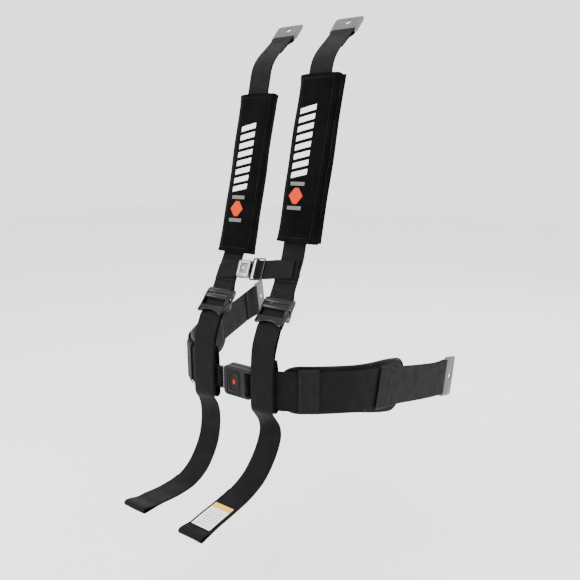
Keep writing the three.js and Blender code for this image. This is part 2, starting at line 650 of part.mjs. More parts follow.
// A round wire spring along Y, made of wire that runs round the axis.
function helix(radius, wire, length, turns) {
  const steps = Math.round(turns * 12);
  const rings = [];
  for (let i = 0; i <= steps; i += 1) {
    const angle = 2 * Math.PI * turns * i / steps;
    const centre = vec(radius * Math.cos(angle), length * (i / steps - 0.5), radius * Math.sin(angle));
    const out = vec(Math.cos(angle), 0, Math.sin(angle));
    rings.push([0, 1, 2, 3, 4, 5].map((k) => {
      const around = Math.PI * k / 3;
      return centre.clone().addScaledVector(out, wire * Math.cos(around))
        .add(vec(0, -wire * Math.sin(around), 0));
    }));
  }
  return loft(rings);
}

// ---- Chest strap and its small metal buckle.
// The strap's own frame lies on the shoulder straps, X along it, -Y to the front.
const CHEST_UP = 53;                  // above the adjuster, along the shoulder strap
const CHEST_ROLL = -0.1;
const CHEST_BUCKLE = [-28, -4, 0];
const CHEST_BUCKLE_WIDE = 28;
const CHEST_BUCKLE_TALL = 34;
const RING_WIDE = 29;
const RING_TALL = 45;
const RING_AT = 29.5;                 // middle of the ring, from the middle of the buckle

function chestGroup() {
  const group = new THREE.Group();
  group.position.set(0, ...step(CHEST_LOW, CHEST_DEG, CHEST_UP));
  group.rotation.set(THREE.MathUtils.degToRad(CHEST_DEG - 90), CHEST_ROLL, 0, 'XYZ');
  harness.add(group);
  return group;
}

function chestBuckle() {
  const group = new THREE.Group();
  group.position.set(...CHEST_BUCKLE);
  chestGroup().add(group);
  const mouth = block([10, 3.2, 22], [13, 0, 0]);
  const tabMouth = block([10, 5.6, 30], [-13, 3.1, 0]);
  const cover = cut(plate(CHEST_BUCKLE_WIDE, CHEST_BUCKLE_TALL, 7, 3, [0, -2.8, 0], 1),
    plate(CHEST_BUCKLE_WIDE - 3, CHEST_BUCKLE_TALL - 3, 6, 2, [0, -2, 0]),
    mouth, plate(16, 19, 6, 2, [0, -5, 0]));
  add('chest_buckle_cover', cover, BRIGHT_STEEL, group);
  const base = cut(plate(CHEST_BUCKLE_WIDE, CHEST_BUCKLE_TALL, 5, 3, [0, 3.6, 0], 0.8),
    plate(CHEST_BUCKLE_WIDE - 3, CHEST_BUCKLE_TALL - 3, 4, 2, [0, 2.4, 0]),
    tabMouth, mouth);
  add('chest_buckle_base', base, BRIGHT_STEEL, group);
  add('chest_buckle_button', join(plate(15.4, 18.4, 1.6, 1.7, [0, -5, 0], 0.4),
    post(2.4, 1.6, [0, -5.9, 0]), block([3, 5.4, 8], [1.5, -1.7, 0])), BRIGHT_STEEL, group);
  add('chest_buckle_latch', join(block([13, 1, 12], [4.5, 1.9, 0]), block([2, 2.4, 6], [9, 0.6, 0])),
    BRIGHT_STEEL, group);
  add('chest_buckle_spring', helix(2, 0.4, 7.2, 3.5).translate(-5, 0.1, 0), BRIGHT_STEEL, group);
  // The blade ends in a ring that the chest webbing folds through, as on a tri-glide.
  const ring = cut(plate(RING_WIDE, RING_TALL, 2.2, 4, [RING_AT, 0, 0], 0.5),
    plate(RING_WIDE - 5.4, RING_TALL - 5.4, 4, 2, [RING_AT, 0, 0]));
  const tongue = cut(join(ring, block([12, 1.8, 20], [11, 0, 0]), block([2.4, 2, 40.4], [27, 0, 0])),
    block([4, 4, 8], [9, 0, 0]));
  add('chest_buckle_tongue', tongue, BLACK_STEEL, group);
}

function chestWebbing() {
  const group = chestGroup();
  const layer = -2 * SEWN;
  const left = [[-90, layer], [-60, layer], [-44, layer], [-41.4, -1.6], [-39, 0], [-37.4, 0]];
  const narrow = (share, p) => 27 + 10 * THREE.MathUtils.smoothstep(-p.x, 44, 54);
  const flat = (pairs) => pairs.map(([x, y]) => vec(x, y, 0));
  add('left_chest_webbing', band(flat(left), narrow, WEB, ALONG_Z), BLACK_WEB, group);
  // The right webbing goes round the ring's middle bar, and its free end lies back over itself.
  const path = smooth(flat([
    [92, layer], [60, layer], [45, layer - 0.2], [32, -1.9], [20, 0.1], [12, 0.5], [5.8, 0.2],
    [0.3, -0.8], [-3.6, -2.1], [-4.4, -4], [-3.4, -5.8], [-1, -6.4], [1.3, -5.9], [2.6, -4.2],
    [4, -2.1], [6.4, -1.6], [11.8, -1.5], [18, -1.9], [32, -4], [45, layer - 2.2],
    [60, layer - 2.1], [84, layer - 3.4],
  ]), 54);
  add('right_chest_webbing', band(path, CHEST_WIDE - 1, WEB, ALONG_Z), BLACK_WEB, group);
}

// A reinforcing patch sewn to the shoulder strap under the chest webbing.
function chestPatch(side) {
  const x = SIDE[side] * STRAP_X;
  const middle = CHEST_UP + 7 * SIDE[side];
  const path = [-24, -8, 8].map((far) => vec(x, ...step(CHEST_LOW, CHEST_DEG, middle + far)));
  add(`${side}_chest_patch`, band(beside(path, () => -SEWN), STRAP_WIDE, WEB, ALONG_X), BLACK_WEB);
}

// ---- Bolt-in anchor tabs on the four belt ends. Local X is the width, the bar is at the origin
// and the bolt hole lies towards +Z.
const TAB_LONG = 44;
const TAB_BORDER = 6;                 // steel on each side of the belt slot
const BOLT_HOLE = 5.6;
const BOLT_AT = 28;

function anchorTab(name, width, matrix) {
  const body = plate(width + 2 * TAB_BORDER, TAB_LONG, TAB_THICK, 6, [0, 0, TAB_LONG / 2 - 2.5]);
  const slot = block([width + 1, 8, 5.8], [0, 0, 5.3]);
  const hole = post(BOLT_HOLE, 8, [0, 0, BOLT_AT]);
  const mesh = add(name, cut(body, slot, hole), BRIGHT_STEEL);
  mesh.applyMatrix4(matrix);
}

function anchorTabs(side) {
  const along = THREE.MathUtils.degToRad(SHOULDER_END_DEG);
  const shoulder = new THREE.Matrix4().makeRotationX(along - Math.PI / 2);
  shoulder.setPosition(SIDE[side] * STRAP_X, ...SHOULDER_END);
  anchorTab(`${side}_shoulder_anchor`, STRAP_WIDE, shoulder);
  const { centre, tangent, up } = lapEnd(side);
  const thick = tangent.clone().cross(up).normalize();
  const lap = new THREE.Matrix4().makeBasis(up, thick, tangent);
  lap.setPosition(centre);
  anchorTab(`${side}_lap_anchor`, LAP_WIDE, lap);
}

for (const side of SIDES) {
  shoulderWebbing(side);
  shoulderPad(side);
  adjuster(side);
  lowerWebbing(side);
  lapWebbing(side);
  hipPad(side);
  chestPatch(side);
  anchorTabs(side);
}
tongueWebbing();
lapBuckle();
chestBuckle();
chestWebbing();

export default harness;
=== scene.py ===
"""A four-point racing harness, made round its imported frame. Routes are in millimetres, meshes in metres."""
import json
import math

import bpy
import numpy as np
from mathutils import Matrix, Vector
from mathutils.bvhtree import BVHTree

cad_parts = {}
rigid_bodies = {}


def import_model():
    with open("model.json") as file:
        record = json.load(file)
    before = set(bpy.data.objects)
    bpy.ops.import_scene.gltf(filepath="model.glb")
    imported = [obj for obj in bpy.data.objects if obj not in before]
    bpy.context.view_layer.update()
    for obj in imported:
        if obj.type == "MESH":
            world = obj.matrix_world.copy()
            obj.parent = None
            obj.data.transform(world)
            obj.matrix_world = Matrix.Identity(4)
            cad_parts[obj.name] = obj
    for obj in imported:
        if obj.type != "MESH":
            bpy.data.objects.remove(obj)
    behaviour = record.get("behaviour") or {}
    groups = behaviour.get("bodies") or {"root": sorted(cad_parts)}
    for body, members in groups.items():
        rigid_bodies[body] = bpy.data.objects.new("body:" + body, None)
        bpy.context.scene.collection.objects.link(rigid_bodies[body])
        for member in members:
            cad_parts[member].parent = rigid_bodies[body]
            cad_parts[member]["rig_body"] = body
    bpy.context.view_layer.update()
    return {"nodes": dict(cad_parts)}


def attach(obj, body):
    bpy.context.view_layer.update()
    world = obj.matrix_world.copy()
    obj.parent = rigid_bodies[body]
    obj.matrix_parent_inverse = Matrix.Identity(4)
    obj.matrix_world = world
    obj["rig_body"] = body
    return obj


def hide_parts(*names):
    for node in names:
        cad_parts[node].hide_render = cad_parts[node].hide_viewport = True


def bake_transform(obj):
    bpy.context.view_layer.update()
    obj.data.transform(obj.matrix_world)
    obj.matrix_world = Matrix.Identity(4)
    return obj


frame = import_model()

MM = 0.001
SIDES = {"left": -1, "right": 1}
GAP = 0.3                         # between pieces that touch
WEB = 1.6                         # webbing thickness
THREAD_OUT = WEB / 2 + 0.1        # height of a stitch's middle over a strip's middle
STRAP_X = 70
STRAP_WIDE = 50
LAP_WIDE = 76
LAP_GATHERED = 44
CHEST_WIDE = 37
BAR = 3
LOOP = BAR + GAP + WEB / 2        # webbing wrapped round a bar
SEWN = WEB + GAP                  # two layers sewn together
ADJUSTER_AT = (-72, 152)
ADJUSTER_TILT = math.radians(-42.6)
ADJUSTER_REACH = 56
SHOULDER_END = (134, 642)
PAD_LONG = 312
PAD_WIDE = 80
PAD_THICK = 26
FLAP_IN = 14                      # the left sleeve's folded flap, from the sleeve's edge
HIP_THICK = 12
HIP_FLAT = 8.4                    # the hip pad before it is blown up
KEEPERS = ((1, 0.19), (2, 0.75))  # number, and place along the hip pad
BUCKLE_Y = -118

CAMERA_AT = (0.693, -0.9325, 0.4195)
CAMERA_PITCH = 77
CAMERA_TURN = 35
CAMERA_LENS = 37.24


# ---------------------------------------------------------------- camera, floor and light
def deselect():
    bpy.ops.object.select_all(action="DESELECT")


def place_camera():
    turn = (math.radians(CAMERA_PITCH), 0, math.radians(CAMERA_TURN))
    bpy.ops.object.camera_add(location=CAMERA_AT, rotation=turn)
    camera = bpy.context.object
    camera.data.lens = CAMERA_LENS
    camera.data.sensor_width = 36
    bpy.context.scene.camera = camera


def light(name, at, size, power, aim=(0, 0, 0.2)):
    bpy.ops.object.light_add(type="AREA", location=at)
    lamp = bpy.context.object
    lamp.name = name
    lamp.data.shape = "DISK"
    lamp.data.size = size
    lamp.data.energy = power
    lamp.rotation_euler = (Vector(aim) - Vector(at)).to_track_quat("-Z", "Y").to_euler()


def build_studio():
    bpy.ops.mesh.primitive_plane_add(size=14, location=(0, 0, -0.42))
    floor = bpy.context.object
    floor.name = "floor"
    pale = bpy.data.materials.new("pale_floor")
    pale.use_nodes = True
    shader = pale.node_tree.nodes["Principled BSDF"]
    shader.inputs["Base Color"].default_value = (0.93, 0.93, 0.93, 1)
    shader.inputs["Roughness"].default_value = 0.9
    floor.data.materials.append(pale)
    light("key", (-1.2, -1.9, 2.0), 1.3, 52)
    light("fill", (2.4, -1.0, 0.9), 1.6, 26)
    light("back", (0.3, 2.2, 1.9), 1.4, 34)
    light("top", (0.1, -0.2, 2.6), 1.2, 22)
    world = bpy.data.worlds.new("studio")
    world.use_nodes = True
    world.node_tree.nodes["Background"].inputs["Color"].default_value = (1, 1, 1, 1)
    world.node_tree.nodes["Background"].inputs["Strength"].default_value = 2.1
    bpy.context.scene.world = world


# ---------------------------------------------------------------- material building blocks
def new_group(name, inputs, outputs):
    tree = bpy.data.node_groups.new(name, "ShaderNodeTree")
    for socket, kind, value in inputs:
        made = tree.interface.new_socket(name=socket, in_out="INPUT", socket_type=kind)
        if value is not None:
            made.default_value = value
    for socket, kind in outputs:
        tree.interface.new_socket(name=socket, in_out="OUTPUT", socket_type=kind)
    return tree, tree.nodes.new("NodeGroupInput"), tree.nodes.new("NodeGroupOutput")


def wire(tree, value, socket):
    """Connects an output to an input, or sets a plain value."""
    if isinstance(value, bpy.types.NodeSocket):
        tree.links.new(value, socket)
    else:
        socket.default_value = value


def maths(tree, kind, a, b=0.0, c=None):
    node = tree.nodes.new("ShaderNodeMath")
    node.operation = kind
    wire(tree, a, node.inputs[0])
    wire(tree, b, node.inputs[1])
    if c is not None:
        wire(tree, c, node.inputs[2])
    return node.outputs[0]


def remap(tree, value, low, high, to_low=0.0, to_high=1.0):
    node = tree.nodes.new("ShaderNodeMapRange")
    node.interpolation_type = "SMOOTHSTEP"
    wire(tree, value, node.inputs["Value"])
    for socket, v in (("From Min", low), ("From Max", high), ("To Min", to_low), ("To Max", to_high)):
        wire(tree, v, node.inputs[socket])
    return node.outputs[0]


def noise(tree, vector, scale, detail=3.0, rough=0.55):
    node = tree.nodes.new("ShaderNodeTexNoise")
    wire(tree, vector, node.inputs["Vector"])
    wire(tree, scale, node.inputs["Scale"])
    node.inputs["Detail"].default_value = detail
    node.inputs["Roughness"].default_value = rough
    return node.outputs[0]


def between(tree, share, first, second):
    node = tree.nodes.new("ShaderNodeMix")
    node.data_type = "RGBA"
    wire(tree, share, node.inputs[0])
    wire(tree, first, node.inputs[6])
    wire(tree, second, node.inputs[7])
    return node.outputs[2]


FLOAT = "NodeSocketFloat"
VECTOR = "NodeSocketVector"


def weave_group():
    """Narrow woven webbing: ribs along its length, each crossed by slanting yarns."""
    tree, into, out = new_group(
        "webbing weave",
        [("Flat", VECTOR, None), ("Rib", FLOAT, 0.0021), ("Yarn", FLOAT, 0.0013)],
        [("Height", FLOAT), ("Tone", FLOAT)])
    split = tree.nodes.new("ShaderNodeSeparateXYZ")
    wire(tree, into.outputs["Flat"], split.inputs[0])
    across = maths(tree, "DIVIDE", split.outputs[0], into.outputs["Rib"])
    slant = maths(tree, "PINGPONG", across, 0.5)
    along = maths(tree, "DIVIDE", split.outputs[1], into.outputs["Yarn"])
    along = maths(tree, "ADD", along, maths(tree, "MULTIPLY", slant, 1.6))
    yarn = maths(tree, "SINE", maths(tree, "MULTIPLY", along, 2 * math.pi))
    yarn = maths(tree, "MULTIPLY_ADD", yarn, 0.5, 0.5)
    rib = maths(tree, "SINE", maths(tree, "MULTIPLY", maths(tree, "FRACT", across), math.pi))
    rib = maths(tree, "POWER", maths(tree, "ABSOLUTE", rib), 0.5)
    height = maths(tree, "ADD", maths(tree, "MULTIPLY", rib, 0.55), maths(tree, "MULTIPLY", yarn, 0.45))
    cloud = noise(tree, into.outputs["Flat"], 42.0, 4.0)
    tone = maths(tree, "ADD", maths(tree, "MULTIPLY", height, 0.6), maths(tree, "MULTIPLY", cloud, 0.5))
    wire(tree, height, out.inputs["Height"])
    wire(tree, tone, out.inputs["Tone"])
    return tree


def nap_group():
    """Short fibres and slow unevenness of felt, knit and laminated cloth."""
    tree, into, out = new_group(
        "cloth nap", [("Place", VECTOR, None), ("Fine", FLOAT, 900.0), ("Broad", FLOAT, 26.0)],
        [("Height", FLOAT), ("Tone", FLOAT)])
    fine = noise(tree, into.outputs["Place"], into.outputs["Fine"], 4.0, 0.7)
    broad = noise(tree, into.outputs["Place"], into.outputs["Broad"], 3.0, 0.5)
    wire(tree, maths(tree, "MULTIPLY_ADD", broad, 0.6, fine), out.inputs["Height"])
    tone = maths(tree, "MULTIPLY_ADD", fine, 0.5, maths(tree, "MULTIPLY", broad, 0.5))
    wire(tree, remap(tree, tone, 0.3, 0.7), out.inputs["Tone"])
    return tree


def edge_wear_and_highlight_group():
    """Where hands and webbing rub a hard edge bright, together with a painted highlight along the same edges,
    broken up by scratches.
    """
    tree, into, out = new_group(
        "edge wear and painted highlight",
        [("Place", VECTOR, None), ("Edge", FLOAT, 0.5), ("From", FLOAT, 0.51), ("To", FLOAT, 0.56)],
        [("Worn_and_highlight", FLOAT), ("Scratch", FLOAT)])
    edge = remap(tree, into.outputs["Edge"], into.outputs["From"], into.outputs["To"])
    patchy = remap(tree, noise(tree, into.outputs["Place"], 160.0, 4.0, 0.65), 0.38, 0.62)
    wire(tree, maths(tree, "MULTIPLY", edge, patchy), out.inputs["Worn_and_highlight"])
    stretch = tree.nodes.new("ShaderNodeMapping")
    wire(tree, into.outputs["Place"], stretch.inputs["Vector"])
    stretch.inputs["Scale"].default_value = (1, 1, 14)
    stretch.inputs["Rotation"].default_value = (0.4, 0.3, 0.2)
    scratch = noise(tree, stretch.outputs[0], 260.0, 5.0, 0.7)
    wire(tree, remap(tree, scratch, 0.45, 0.7), out.inputs["Scratch"])
    return tree


WEAVE = weave_group()
NAP = nap_group()
EDGE_WEAR_AND_HIGHLIGHT = edge_wear_and_highlight_group()


class Look:
    """One material with its shader, and helpers that place nodes in it."""

    def __init__(self, name, **constants):
        self.material = bpy.data.materials.new(name)
        self.material.use_nodes = True
        self.tree = self.material.node_tree
        self.shader = self.tree.nodes["Principled BSDF"]
        for socket, value in constants.items():
            self.shader.inputs[socket.replace("_", " ")].default_value = value

    def place(self):
        return self.tree.nodes.new("ShaderNodeTexCoord").outputs["Object"]

    def flat(self):
        node = self.tree.nodes.new("ShaderNodeUVMap")
        node.uv_map = "flat"
        return node.outputs[0]

    def add(self, group, **values):
        node = self.tree.nodes.new("ShaderNodeGroup")
        node.node_tree = group
        for socket, value in values.items():
            wire(self.tree, value, node.inputs[socket])
        return node.outputs

    def set(self, socket, value):
        wire(self.tree, value, self.shader.inputs[socket])

    def colour(self, share, first, second):
        self.set("Base Color", between(self.tree, share, (*first, 1), (*second, 1)))

    def bump(self, height, depth, strength=1.0, previous=None):
        node = self.tree.nodes.new("ShaderNodeBump")
        node.inputs["Strength"].default_value = strength
        node.inputs["Distance"].default_value = depth
        wire(self.tree, height, node.inputs["Height"])
        if previous is not None:
            wire(self.tree, previous, node.inputs["Normal"])
        self.set("Normal", node.outputs[0])
        return node.outputs[0]


def webbing_look(name, dark, light_tone, rib=0.0021, yarn=0.0013, depth=0.00035):
    look = Look(name, Sheen_Weight=0.012, Sheen_Roughness=0.4, Specular_IOR_Level=0.08)
    weave = look.add(WEAVE, Flat=look.flat(), Rib=rib, Yarn=yarn)
    look.colour(remap(look.tree, weave["Tone"], 0.3, 0.95), dark, light_tone)
    look.set("Roughness", remap(look.tree, weave["Tone"], 0.2, 1.0, 0.78, 0.5))
    look.bump(weave["Height"], depth, 0.7)
    return look.material


def cloth_look(name, dark, light_tone, rough, sheen, fine, depth, shine=0.12):
    look = Look(name, Sheen_Weight=sheen, Sheen_Roughness=0.5, Specular_IOR_Level=shine)
    nap = look.add(NAP, Place=look.place(), Fine=fine)
    look.colour(nap["Tone"], dark, light_tone)
    look.set("Roughness", remap(look.tree, nap["Tone"], 0.0, 1.0, rough, rough - 0.12))
    look.bump(nap["Height"], depth, 0.6)
    return look.material


def metal_look(name, body, edge_colour, metallic, rough, edge_range=(0.51, 0.56), scratched=0.12):
    look = Look(name, Metallic=metallic, Specular_IOR_Level=0.2)
    point = look.tree.nodes.new("ShaderNodeNewGeometry").outputs["Pointiness"]
    edge_outputs = look.add(EDGE_WEAR_AND_HIGHLIGHT, Place=look.place(), Edge=point, From=edge_range[0], To=edge_range[1])
    # the lighter colour on the edges is partly rubbed metal and partly a painted highlight along the rims
    look.colour(edge_outputs["Worn_and_highlight"], body, edge_colour)
    base = remap(look.tree, edge_outputs["Scratch"], 0.0, 1.0, rough, rough + scratched)
    look.set("Roughness", maths(look.tree, "MULTIPLY_ADD", edge_outputs["Worn_and_highlight"], -0.1, base))
    look.bump(edge_outputs["Scratch"], 0.00004, 0.5)
    return look.material


def plastic_look(name, body, edge_colour, rough, grain=2400.0, depth=0.00006):
    look = Look(name, Specular_IOR_Level=0.13)
    point = look.tree.nodes.new("ShaderNodeNewGeometry").outputs["Pointiness"]
    place = look.place()
    edge_outputs = look.add(EDGE_WEAR_AND_HIGHLIGHT, Place=place, Edge=point, From=0.515, To=0.6)
    look.colour(edge_outputs["Worn_and_highlight"], body, edge_colour)
    speckle = noise(look.tree, place, grain, 2.0, 0.5)
    look.set("Roughness", remap(look.tree, speckle, 0.3, 0.7, rough - 0.06, rough + 0.08))
    look.bump(speckle, depth, 0.8)
    return look.material


def thread_look(name, dark, light_tone, pitch=0.0009):
    """Satin stitch: fine threads side by side across the piece."""
    look = Look(name, Specular_IOR_Level=0.1)
    split = look.tree.nodes.new("ShaderNodeSeparateXYZ")
    wire(look.tree, look.flat(), split.inputs[0])
    slant = maths(look.tree, "MULTIPLY_ADD", split.outputs[0], 0.25, split.outputs[1])
    lines = maths(look.tree, "SINE", maths(look.tree, "MULTIPLY", slant, 2 * math.pi / pitch))
    lines = maths(look.tree, "MULTIPLY_ADD", lines, 0.5, 0.5)
    uneven = noise(look.tree, look.flat(), 300.0, 3.0)
    look.colour(maths(look.tree, "MULTIPLY_ADD", lines, 0.6, maths(look.tree, "MULTIPLY", uneven, 0.5)),
                dark, light_tone)
    look.set("Roughness", remap(look.tree, uneven, 0.3, 0.7, 0.6, 0.42))
    look.bump(lines, 0.00025, 0.8)
    return look.material


def label_look():
    """A printed cloth label: a yellow head, a pale body and plain grey rules."""
    look = Look("printed_label", Roughness=0.55, Sheen_Weight=0.1)
    tree = look.tree
    split = tree.nodes.new("ShaderNodeSeparateXYZ")
    wire(tree, look.flat(), split.inputs[0])
    along, across = split.outputs[1], split.outputs[0]
    head = maths(tree, "GREATER_THAN", along, 0.05)
    colour = between(tree, head, (0.82, 0.81, 0.77, 1), (0.8, 0.42, 0.008, 1))
    row = maths(tree, "FRACT", maths(tree, "DIVIDE", along, 0.0062))
    rule = maths(tree, "LESS_THAN", row, 0.26)
    inside = maths(tree, "LESS_THAN", maths(tree, "ABSOLUTE", across), 0.0155)
    body = maths(tree, "MULTIPLY", maths(tree, "LESS_THAN", along, 0.044),
                 maths(tree, "GREATER_THAN", along, 0.006))
    printed = maths(tree, "MULTIPLY", maths(tree, "MULTIPLY", rule, inside), body)
    colour = between(tree, printed, colour, (0.3, 0.3, 0.32, 1))
    weave = look.add(WEAVE, Flat=look.flat(), Rib=0.0007, Yarn=0.0007)
    colour = between(tree, maths(tree, "MULTIPLY", weave["Tone"], 0.16), colour, (0.35, 0.34, 0.32, 1))
    look.set("Base Color", colour)
    look.bump(weave["Height"], 0.00008, 0.5)
    return look.material


def grey(value, blue=None):
    return value, value, value if blue is None else blue


LOOKS = {
    "webbing": webbing_look("woven_webbing", grey(0.0006, 0.0007), grey(0.0052, 0.0057)),
    "keeper": webbing_look("coarse_webbing", grey(0.0006, 0.0007), grey(0.011, 0.012), 0.0032,
             0.0022, 0.0006),
    "felt": cloth_look("pad_felt", grey(0.0005, 0.0006), grey(0.0026, 0.0028), 0.97, 0.015, 1500.0,
             0.0005, 0.04),
    "hip_cloth": cloth_look("hip_pad_cloth", grey(0.0009, 0.001), grey(0.004, 0.0044), 0.72, 0.02,
             2100.0, 0.00022, 0.1),
    "binding": cloth_look("edge_binding", grey(0.0014, 0.0016), grey(0.007, 0.0076), 0.62, 0.03,
             1800.0, 0.0002, 0.15),
    "foam": cloth_look("open_foam", grey(0.012), grey(0.05), 0.98, 0.1, 700.0, 0.0009),
    "thread": cloth_look("sewing_thread", grey(0.006, 0.0064), grey(0.02, 0.021), 0.5, 0.05,
             2600.0, 0.0001, 0.2),
    "white_thread": thread_look("white_embroidery", grey(0.74, 0.73), grey(0.98, 0.97)),
    "orange_thread": thread_look("orange_embroidery", (0.42, 0.018, 0.0004), (0.7, 0.05, 0.0015)),
    "grey_thread": thread_look("grey_embroidery", grey(0.07, 0.072), grey(0.17, 0.175)),
    # in the metal looks below, the second colour, laid on the edges, stands partly for rubbed metal and partly for
    # a painted highlight along the rims
    "black_steel": metal_look("blackened_steel", grey(0.0015, 0.0017), grey(0.13, 0.135), 0.0,
             0.18, (0.56, 0.68), 0.06),
    "bright_steel": metal_look("polished_steel", grey(0.2, 0.205), grey(0.42, 0.43), 1.0, 0.26,
             (0.54, 0.66)),
    "plated_steel": metal_look("zinc_plated_steel", (0.11, 0.112, 0.115), grey(0.25, 0.255), 1.0,
             0.36, (0.54, 0.66)),
    "brass": metal_look("brass_disc", (0.52, 0.36, 0.13), (0.8, 0.62, 0.3), 1.0, 0.3),
    "plastic": plastic_look("buckle_plastic", grey(0.0085, 0.0095), grey(0.03, 0.032), 0.48),
    "button": plastic_look("button_plastic", grey(0.0035, 0.004), grey(0.022, 0.024), 0.4),
    "red": plastic_look("red_indicator", (0.4, 0.0008, 0.001), (0.5, 0.01, 0.01), 0.4, 900.0, 0.00003),
    "label": label_look(),
}


# ---------------------------------------------------------------- routes
def even(points, count):
    """Evenly spaced points along a line of points."""
    points = np.array(points, float)
    far = np.concatenate([[0], np.cumsum(np.linalg.norm(np.diff(points, axis=0), axis=1))])
    at = np.linspace(0, far[-1], count + 1)
    return np.stack([np.interp(at, far, points[:, k]) for k in range(3)], axis=1)


def smooth(points, count):
    """A centripetal curve through the points, evenly spaced."""
    p = np.array(points, float)
    p = np.vstack([2 * p[0] - p[1], p, 2 * p[-1] - p[-2]])
    fine = []
    for i in range(1, len(p) - 2):
        a, b, c, d = p[i - 1:i + 3]
        t0, t1 = 0.0, math.sqrt(np.linalg.norm(b - a))
        t2 = t1 + math.sqrt(np.linalg.norm(c - b))
        t3 = t2 + math.sqrt(np.linalg.norm(d - c))
        for t in np.linspace(t1, t2, 24, endpoint=False):
            ab = ((t1 - t) * a + (t - t0) * b) / (t1 - t0)
            bc = ((t2 - t) * b + (t - t1) * c) / (t2 - t1)
            cd = ((t3 - t) * c + (t - t2) * d) / (t3 - t2)
            abc = ((t2 - t) * ab + (t - t0) * bc) / (t2 - t0)
            bcd = ((t3 - t) * bc + (t - t1) * cd) / (t3 - t1)
            fine.append(((t2 - t) * abc + (t - t1) * bcd) / (t2 - t1))
    fine.append(p[-2])
    return even(fine, count)


def smoothstep(value, low, high):
    t = np.clip((value - low) / (high - low), 0, 1)
    return t * t * (3 - 2 * t)


def step(yz, deg, length):
    angle = math.radians(deg)
    return yz[0] + length * math.cos(angle), yz[1] + length * math.sin(angle)


def in_side(x, pairs):
    return [(x, y, z) for y, z in pairs]


def arc(x, centre, radius, start, end, steps=14):
    return in_side(x, [step(centre, start + (end - start) * i / steps, radius) for i in range(steps + 1)])


def bend(x, start, start_deg, end, end_deg, count):
    reach = 0.36 * math.dist(start, end)
    p = [np.array(q) for q in (start, step(start, start_deg, reach), step(end, end_deg, -reach), end)]
    t = np.linspace(0, 1, 60)[:, None]
    curve = (1 - t) ** 3 * p[0] + 3 * (1 - t) ** 2 * t * p[1] + 3 * (1 - t) * t ** 2 * p[2] + t ** 3 * p[3]
    return even(in_side(x, curve), count)


def directions(path):
    path = np.array(path, float)
    along = np.vstack([path[1] - path[0], path[2:] - path[:-2], path[-1] - path[-2]])
    return along / np.linalg.norm(along, axis=1)[:, None]


def distances(path):
    path = np.array(path, float)
    return np.concatenate([[0], np.cumsum(np.linalg.norm(np.diff(path, axis=0), axis=1))])


def beside(path, offset_at):
    """A second layer beside a path in the Y-Z plane."""
    along, far = directions(path), distances(path)
    offset = np.array([offset_at(f) for f in far])
    away = np.stack([np.zeros(len(far)), along[:, 2] * offset, -along[:, 1] * offset], axis=1)
    return np.array(path, float) + away


class Route:
    """The line a strip follows, with the direction of its width. Its outside is across x along."""

    def __init__(self, points, across, matrix=None):
        self.at = np.array(points, float)
        self.far = distances(self.at)
        along = directions(self.at)
        side = np.array(across, float) * np.ones((len(self.at), 1))
        side = side - along * (side * along).sum(axis=1)[:, None]
        self.side = side / np.linalg.norm(side, axis=1)[:, None]
        self.out = np.cross(self.side, along)
        self.matrix = matrix

    @property
    def length(self):
        return float(self.far[-1])

    def to(self, x, y, z):
        pick = lambda rows: np.stack([np.interp(y, self.far, rows[:, k]) for k in range(3)], axis=1)
        at = pick(self.at) + pick(self.side) * x[:, None] + pick(self.out) * z[:, None]
        if self.matrix is not None:
            turned = np.array(self.matrix)
            at = at @ turned[:3, :3].T + turned[:3, 3]
        return at


CHEST_DEG, RUN_DEG, END_DEG = 60, 75, 46
CHEST_LOW = step(ADJUSTER_AT, CHEST_DEG + 90, LOOP)
CHEST_HIGH = step(CHEST_LOW, CHEST_DEG, 64)
RUN_LOW = (-31, 238)
RUN_HIGH = step(RUN_LOW, RUN_DEG, 340)


def sewn_offset(far):
    return SEWN + (2 * LOOP - SEWN) * (1 - smoothstep(far, 0, 26))


def shoulder_route(side):
    """From the sewn end behind the chest, round the adjuster's bar, up the pad's run and round the anchor."""
    x = SIDES[side] * STRAP_X
    top = step(SHOULDER_END, END_DEG + 90, LOOP)
    rise = [(x, *step(CHEST_LOW, CHEST_DEG, far)) for far in np.linspace(0, 64, 12)]
    run = [*rise[:-1], *bend(x, CHEST_HIGH, CHEST_DEG, RUN_LOW, RUN_DEG, 8)[:-1],
           *even([(x, *RUN_LOW), (x, *RUN_HIGH)], 36)[:-1], *bend(x, RUN_HIGH, RUN_DEG, top, END_DEG, 24)]
    lower = beside([(x, *step(CHEST_LOW, CHEST_DEG, far)) for far in np.linspace(0, 56, 14)], sewn_offset)
    tail = np.array(run[::-1])
    tail = tail[distances(tail) < 58]
    upper = beside(tail, lambda far: -sewn_offset(far))
    points = [*lower[1:][::-1], *arc(x, ADJUSTER_AT, LOOP, CHEST_DEG + 270, CHEST_DEG + 90),
              *run[1:-1], *arc(x, SHOULDER_END, LOOP, END_DEG + 90, END_DEG - 90), *upper[1:]]
    start = distances(points)[len(lower) - 1 + 14]
    return Route(points, (1, 0, 0)), start


def adjuster_matrix(side):
    return Matrix.Translation((SIDES[side] * STRAP_X, *ADJUSTER_AT)) @ Matrix.Rotation(ADJUSTER_TILT, 4, "X")


def from_adjuster(y, z):
    c, s = math.cos(ADJUSTER_TILT), math.sin(ADJUSTER_TILT)
    return ADJUSTER_AT[0] + y * c - z * s, ADJUSTER_AT[1] + y * s + z * c


LOCK_AT = -17


def adjuster_route(side):
    end = -ADJUSTER_REACH - 1.2
    rear = smooth(in_side(0, [(4.6, end), (4.6, -40), (4.3, -26), (LOOP, LOCK_AT)]), 14)
    front = smooth(in_side(0, [(-LOOP, LOCK_AT), (-4.2, -28), (-2.4, -42), (-1.7, end)]), 14)
    points = [*rear[:-1], *arc(0, (0, LOCK_AT), LOOP, 0, 180), *front[1:]]
    return Route(points, (1, 0, 0), adjuster_matrix(side))


